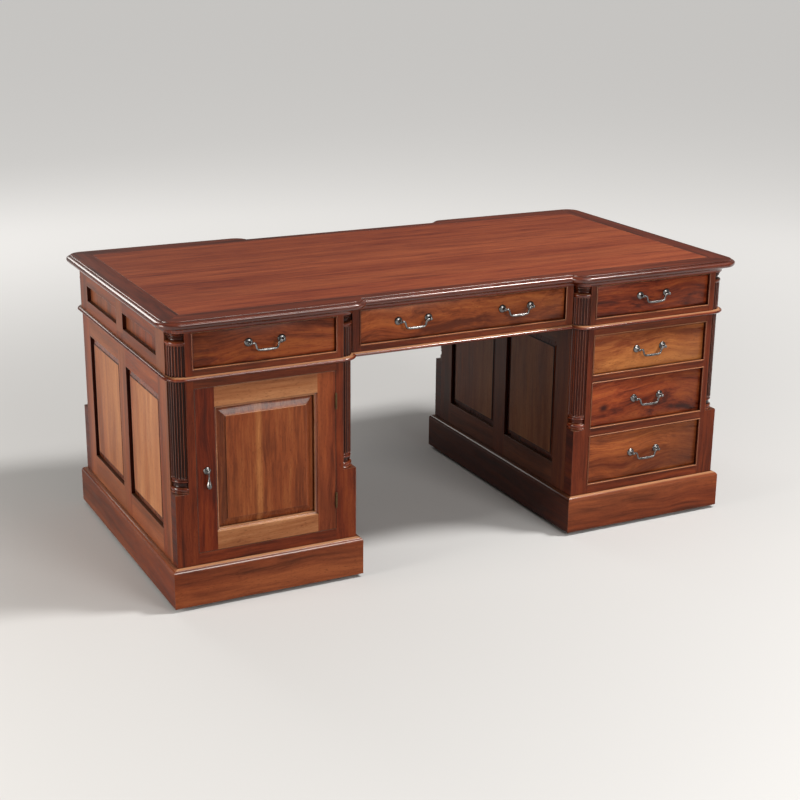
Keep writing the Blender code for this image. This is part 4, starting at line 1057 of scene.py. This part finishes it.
def makeDoor():
    # a moulded frame and a raised and fielded panel
    d = door
    low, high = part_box("door_frame")
    face, back, stick, quirk = low.y, low.y + d["thickness"], d["stickWidth"], d["quirkWidth"]
    groove = back - d["tongue"] - hair
    outer = (low.x, high.x, low.z, high.z)
    sight = (low.x + d["stile"], high.x - d["stile"], low.z + d["bottomRail"], high.z - d["topRail"])

    def loop(area, y, grow):
        left, right, bottom, top = area
        return [Vector((left - grow, y, bottom - grow)), Vector((right + grow, y, bottom - grow)),
                Vector((right + grow, y, top + grow)), Vector((left - grow, y, top + grow))]

    rings = [loop(outer, face, -d["soft"]), loop(outer, face + d["soft"], 0.0), loop(outer, back, 0.0),
             loop(sight, back, d["rebate"]), loop(sight, groove, d["rebate"]), loop(sight, groove, 0.0)]
    # ovolo sticking with a small quirk before the flat of the frame
    for angle in quarterTurn(8):
        rings.append(loop(sight, face + d["quirk"] + (d["stickDepth"] - d["quirk"]) * math.cos(angle),
                          stick * math.sin(angle)))
    rings += [loop(sight, face + d["quirk"], stick + 0.0004), loop(sight, face, stick + quirk)]
    bm = ringSolid(rings)
    # the stiles run through, and the rails meet them square
    for edge in (sight[0] - stick - quirk, sight[1] + stick + quirk):
        cutAcross(bm, (edge, 0, 0), alongX)

    def rule(centre, normal):
        if centre.x < sight[0] - stick + 0.004:
            return alongZ, board(200.0, "doorLeft")
        if centre.x > sight[1] + stick - 0.004:
            return alongZ, board(203.3, "doorRight")
        return alongX, board(206.1 if centre.z > 0.4 else 209.7, "doorRail")

    finish("doorFrameMoulded", setGrain(bm, rule), ["door_frame"], body="cupboard_door", smoothAngle=30.0)
    edge, seat = d["rebate"] - hair, groove + hair
    field = seat - d["rise"]
    rings = [loop(sight, back, edge), loop(sight, seat, edge), loop(sight, seat, -d["tuck"])]
    for step in range(1, 7):
        share = step / 6
        sag = d["sag"] * math.sin(math.pi * share)
        rings.append(loop(sight, seat + (field + d["step"] - seat) * share + sag,
                          -d["tuck"] - (d["bevel"] - d["tuck"]) * share))
    rings += [loop(sight, field + 0.0003, -d["bevel"] - 0.0002), loop(sight, field, -d["bevel"] - 0.0006)]
    bm = ringSolid(rings, False)
    # a pale streak of sapwood runs up the panel, its edges fading over a few millimetres
    middle = sight[0] + (sight[1] - sight[0]) * d["sapAt"]
    for reach in d["sap"]:
        for side in (-1, 1):
            cutAcross(bm, (middle + side * reach, 0, 0), alongX)

    def panelRule(centre, normal):
        paleness = sum(abs(centre.x - middle) <= reach for reach in d["sap"])
        return alongZ, (213.2, 0.30 + 0.20 * paleness, -0.02 + 0.06 * paleness)

    finish("doorPanelFielded", setGrain(bm, panelRule), ["door_panel"], panelWood, "cupboard_door", 20.0)


hinge = {"radius": 0.0025, "inset": 0.0026, "leaf": 0.0015, "knuckles": 5, "gap": 0.0004, "soft": 0.0010}


def makeHinges():
    # a barrel of knuckles on the hinge's axis, and a leaf on the edge of the door
    h, radius = hinge, hinge["radius"]
    for name in ("door_upper_hinge", "door_lower_hinge"):
        low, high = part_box(name)
        length = high.z - low.z
        profile = [(radius * 0.5, 0.0), (radius * 0.9, h["gap"]), (radius, h["soft"])]
        for part in range(1, h["knuckles"]):
            level = length * part / h["knuckles"]
            profile += [(radius, level - h["gap"]), (radius * 0.84, level - h["gap"] / 2),
                        (radius * 0.84, level + h["gap"] / 2), (radius, level + h["gap"])]
        profile += [(radius, length - h["soft"]), (radius * 0.9, length - h["gap"]), (radius * 0.5, length)]
        barrel = lathe(profile, (high.x - h["inset"], low.y + h["inset"], low.z), 24, "Z")
        leaf = easedBox((low.x, low.y + h["inset"], low.z), (low.x + h["leaf"], high.y, high.z), 0.0003)
        finish(name + "Butt", toMesh(joinShapes([barrel, leaf])), [name], agedBrass, "cupboard_door")


# turning holds the drop's profile: share of its length below the post, share of its radius
pull = {"rose": 0.0100, "roseHeight": 0.0052, "roseFoot": 0.0008, "out": 0.0150, "length": 0.0470,
        "radius": 0.0072, "ring": 0.0042,
        "turning": ((-0.075, 0.12), (-0.062, 0.3), (-0.04, 0.44), (0.0, 0.5), (0.04, 0.44), (0.06, 0.32),
                    (0.085, 0.25), (0.14, 0.23), (0.2, 0.24), (0.28, 0.27), (0.36, 0.32), (0.44, 0.41),
                    (0.52, 0.52), (0.59, 0.66), (0.66, 0.8), (0.72, 0.92), (0.78, 1.0), (0.83, 1.0),
                    (0.88, 0.93), (0.92, 0.8), (0.96, 0.58), (0.985, 0.38), (1.0, 0.15))}


def makePull():
    p, post, ring, height = pull, handle["post"], pull["ring"], pull["roseHeight"]
    low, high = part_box("door_pull_rose")
    centre = ((low.x + high.x) / 2, high.y + hair, (low.z + high.z) / 2)
    profile = [(p["rose"] - 0.0006, hair), (p["rose"], p["roseFoot"])]
    profile += [(p["rose"] * math.cos(angle), p["roseFoot"] + (height - p["roseFoot"]) * math.sin(angle))
                for angle in quarterTurn(10)[1:9]]
    profile += [(post * 1.3, height + 0.0002), (post, height + 0.0012), (post, p["out"] - ring * 1.55),
                (post * 1.25, p["out"] - ring * 1.35), (post * 1.25, p["out"] - ring * 1.2),
                (post * 0.6, p["out"] - ring)]
    finish("doorPullRose", toMesh(lathe(profile, centre, 36)), ["door_pull_rose"], agedNickel, "cupboard_door")
    profile = [(p["radius"] * swell, -p["length"] * share) for share, swell in p["turning"]]
    drop = lathe(profile, (centre[0], centre[1] - p["out"], centre[2]), 32, "Z")
    finish("doorPullDrop", toMesh(drop), ["door_pull_drop"], agedNickel, "door_drop_pull", 50.0)


makeDoor()
makeHinges()
makePull()
print("desk: door made")


def eyeShare(add, mirror):
    # one for the rays that show a thing to the camera or through glass, and mirror for those of a reflection
    seen = add("LightPath").outputs
    glossy = add("Math MULTIPLY", (seen["Is Glossy Ray"], mirror))
    shown = add("Math MAXIMUM", (seen["Is Camera Ray"], glossy))
    return add("Math MAXIMUM", (shown, seen["Is Transmission Ray"]))


# pale to the eye and in reflections, duller for the light that the floor throws back up under the desk
floorLook = {"pale": "#C9CACB", "dull": "#8C7C6C", "rough": 0.7, "specular": 0.2, "glow": "#E6E4E1",
             "strength": 0.60, "near": 0.7, "far": 5.0, "half": 60.0}


def makeFloor():
    f = floorLook
    material, add, shader = newMaterial("pale studio floor")
    shown = eyeShare(add, 1.0)
    # far from the desk, where the lamps do not reach, the floor glows as pale as it is near it
    reach = add("VectorMath LENGTH", (add("TexCoord").outputs["Object"],))
    away = add("MapRange", (reach, f["near"], f["far"], 0.0, f["strength"]), interpolation_type="SMOOTHSTEP")
    fill(shader, {
        "Base Color": add("Mix", {"Factor": shown, "A": f["dull"], "B": f["pale"]}, data_type="RGBA"),
        "Roughness": f["rough"], "Specular IOR Level": f["specular"], "Emission Color": f["glow"],
        "Emission Strength": add("Math MULTIPLY", (away, shown))})
    bm = bmesh.new()
    bmesh.ops.create_grid(bm, x_segments=2, y_segments=2, size=f["half"])
    mesh = toMesh(bm, "floor")
    mesh.materials.append(material)
    floor = show("floor", mesh)


lamps = {
    "key": {"at": (2.60, -1.70, 4.90), "aim": (0.3, 0.0, 0.6), "size": (1.0, 1.0), "power": 235.0,
            "colour": "#FFFBF6"},
    "over": {"at": (1.10, -1.20, 3.40), "aim": (1.0, -0.5, 0.8), "size": (2.8, 0.3), "power": 28.0,
             "colour": "#FFFBF6"},
    "left": {"at": (-4.2, -0.4, 1.15), "aim": (-0.7, 0.0, 0.4), "size": (1.8, 1.8), "power": 122.0,
             "colour": "#FFF8EE"},
    "rear": {"at": (-1.20, 4.90, 3.20), "aim": (0.0, 0.4, 0.4), "size": (2.2, 2.2), "power": 56.0,
             "colour": "#FFFBF6"},
    "front": {"at": (1.00, -4.60, 2.20), "aim": (0.0, -0.4, 0.4), "size": (2.0, 2.0), "power": 104.0,
              "colour": "#FFFBF6"},
}
# a pale backdrop to the eye, dimmer as a light and in the polish, where it would grey the wood
backdrop = {"seen": "#CDCCCA", "light": "#DEDAD5", "mirror": 0.12, "strength": 0.18}


def makeLamps():
    for name, lamp in lamps.items():
        light = bpy.data.lights.new(name, "AREA")
        light.shape = "ELLIPSE"
        light.size, light.size_y = lamp["size"]
        light.energy = lamp["power"]
        light.color = linearColour(lamp["colour"])[:3]
        item = show(name, light)
        item.location = lamp["at"]
        aim = Vector(lamp["aim"]) - Vector(lamp["at"])
        item.rotation_euler = aim.to_track_quat("-Z", "Y").to_euler()
    world = bpy.data.worlds.new("studio")
    bpy.context.scene.world = world
    world.use_nodes = True
    add = partial(put, world.node_tree)
    shown = eyeShare(add, backdrop["mirror"])
    fill(world.node_tree.nodes["Background"], {
        "Color": add("Mix", {"Factor": shown, "A": backdrop["light"], "B": backdrop["seen"]}, data_type="RGBA"),
        "Strength": add("MapRange", {"Value": shown, "To Min": backdrop["strength"]})})


# where the photograph was taken from; angles in degrees, lens in millimetres
camera = {"at": (-2.013, -3.959, 1.759), "azimuth": -26.93, "elevation": 17.68, "roll": 0.59, "lens": 68.56,
          "sensor": 36.0}


def makeCamera():
    c = camera
    a, e, r = (math.radians(c[key]) for key in ("azimuth", "elevation", "roll"))
    back = Vector((math.sin(a) * math.cos(e), -math.cos(a) * math.cos(e), math.sin(e)))
    right = (-back).cross(Vector(alongZ)).normalized()
    up = right.cross(-back)
    tilted = math.cos(r) * right + math.sin(r) * up
    upright = -math.sin(r) * right + math.cos(r) * up
    data = bpy.data.cameras.new("camera")
    data.lens = c["lens"]
    data.sensor_width = c["sensor"]
    item = show("camera", data)
    matrix = Matrix((tilted, upright, back)).transposed().to_4x4()
    matrix.translation = Vector(c["at"])
    item.matrix_world = matrix
    bpy.context.scene.camera = item


makeFloor()
makeLamps()
makeCamera()
bpy.context.scene.view_settings.view_transform = "Standard"
print("desk: stage made")
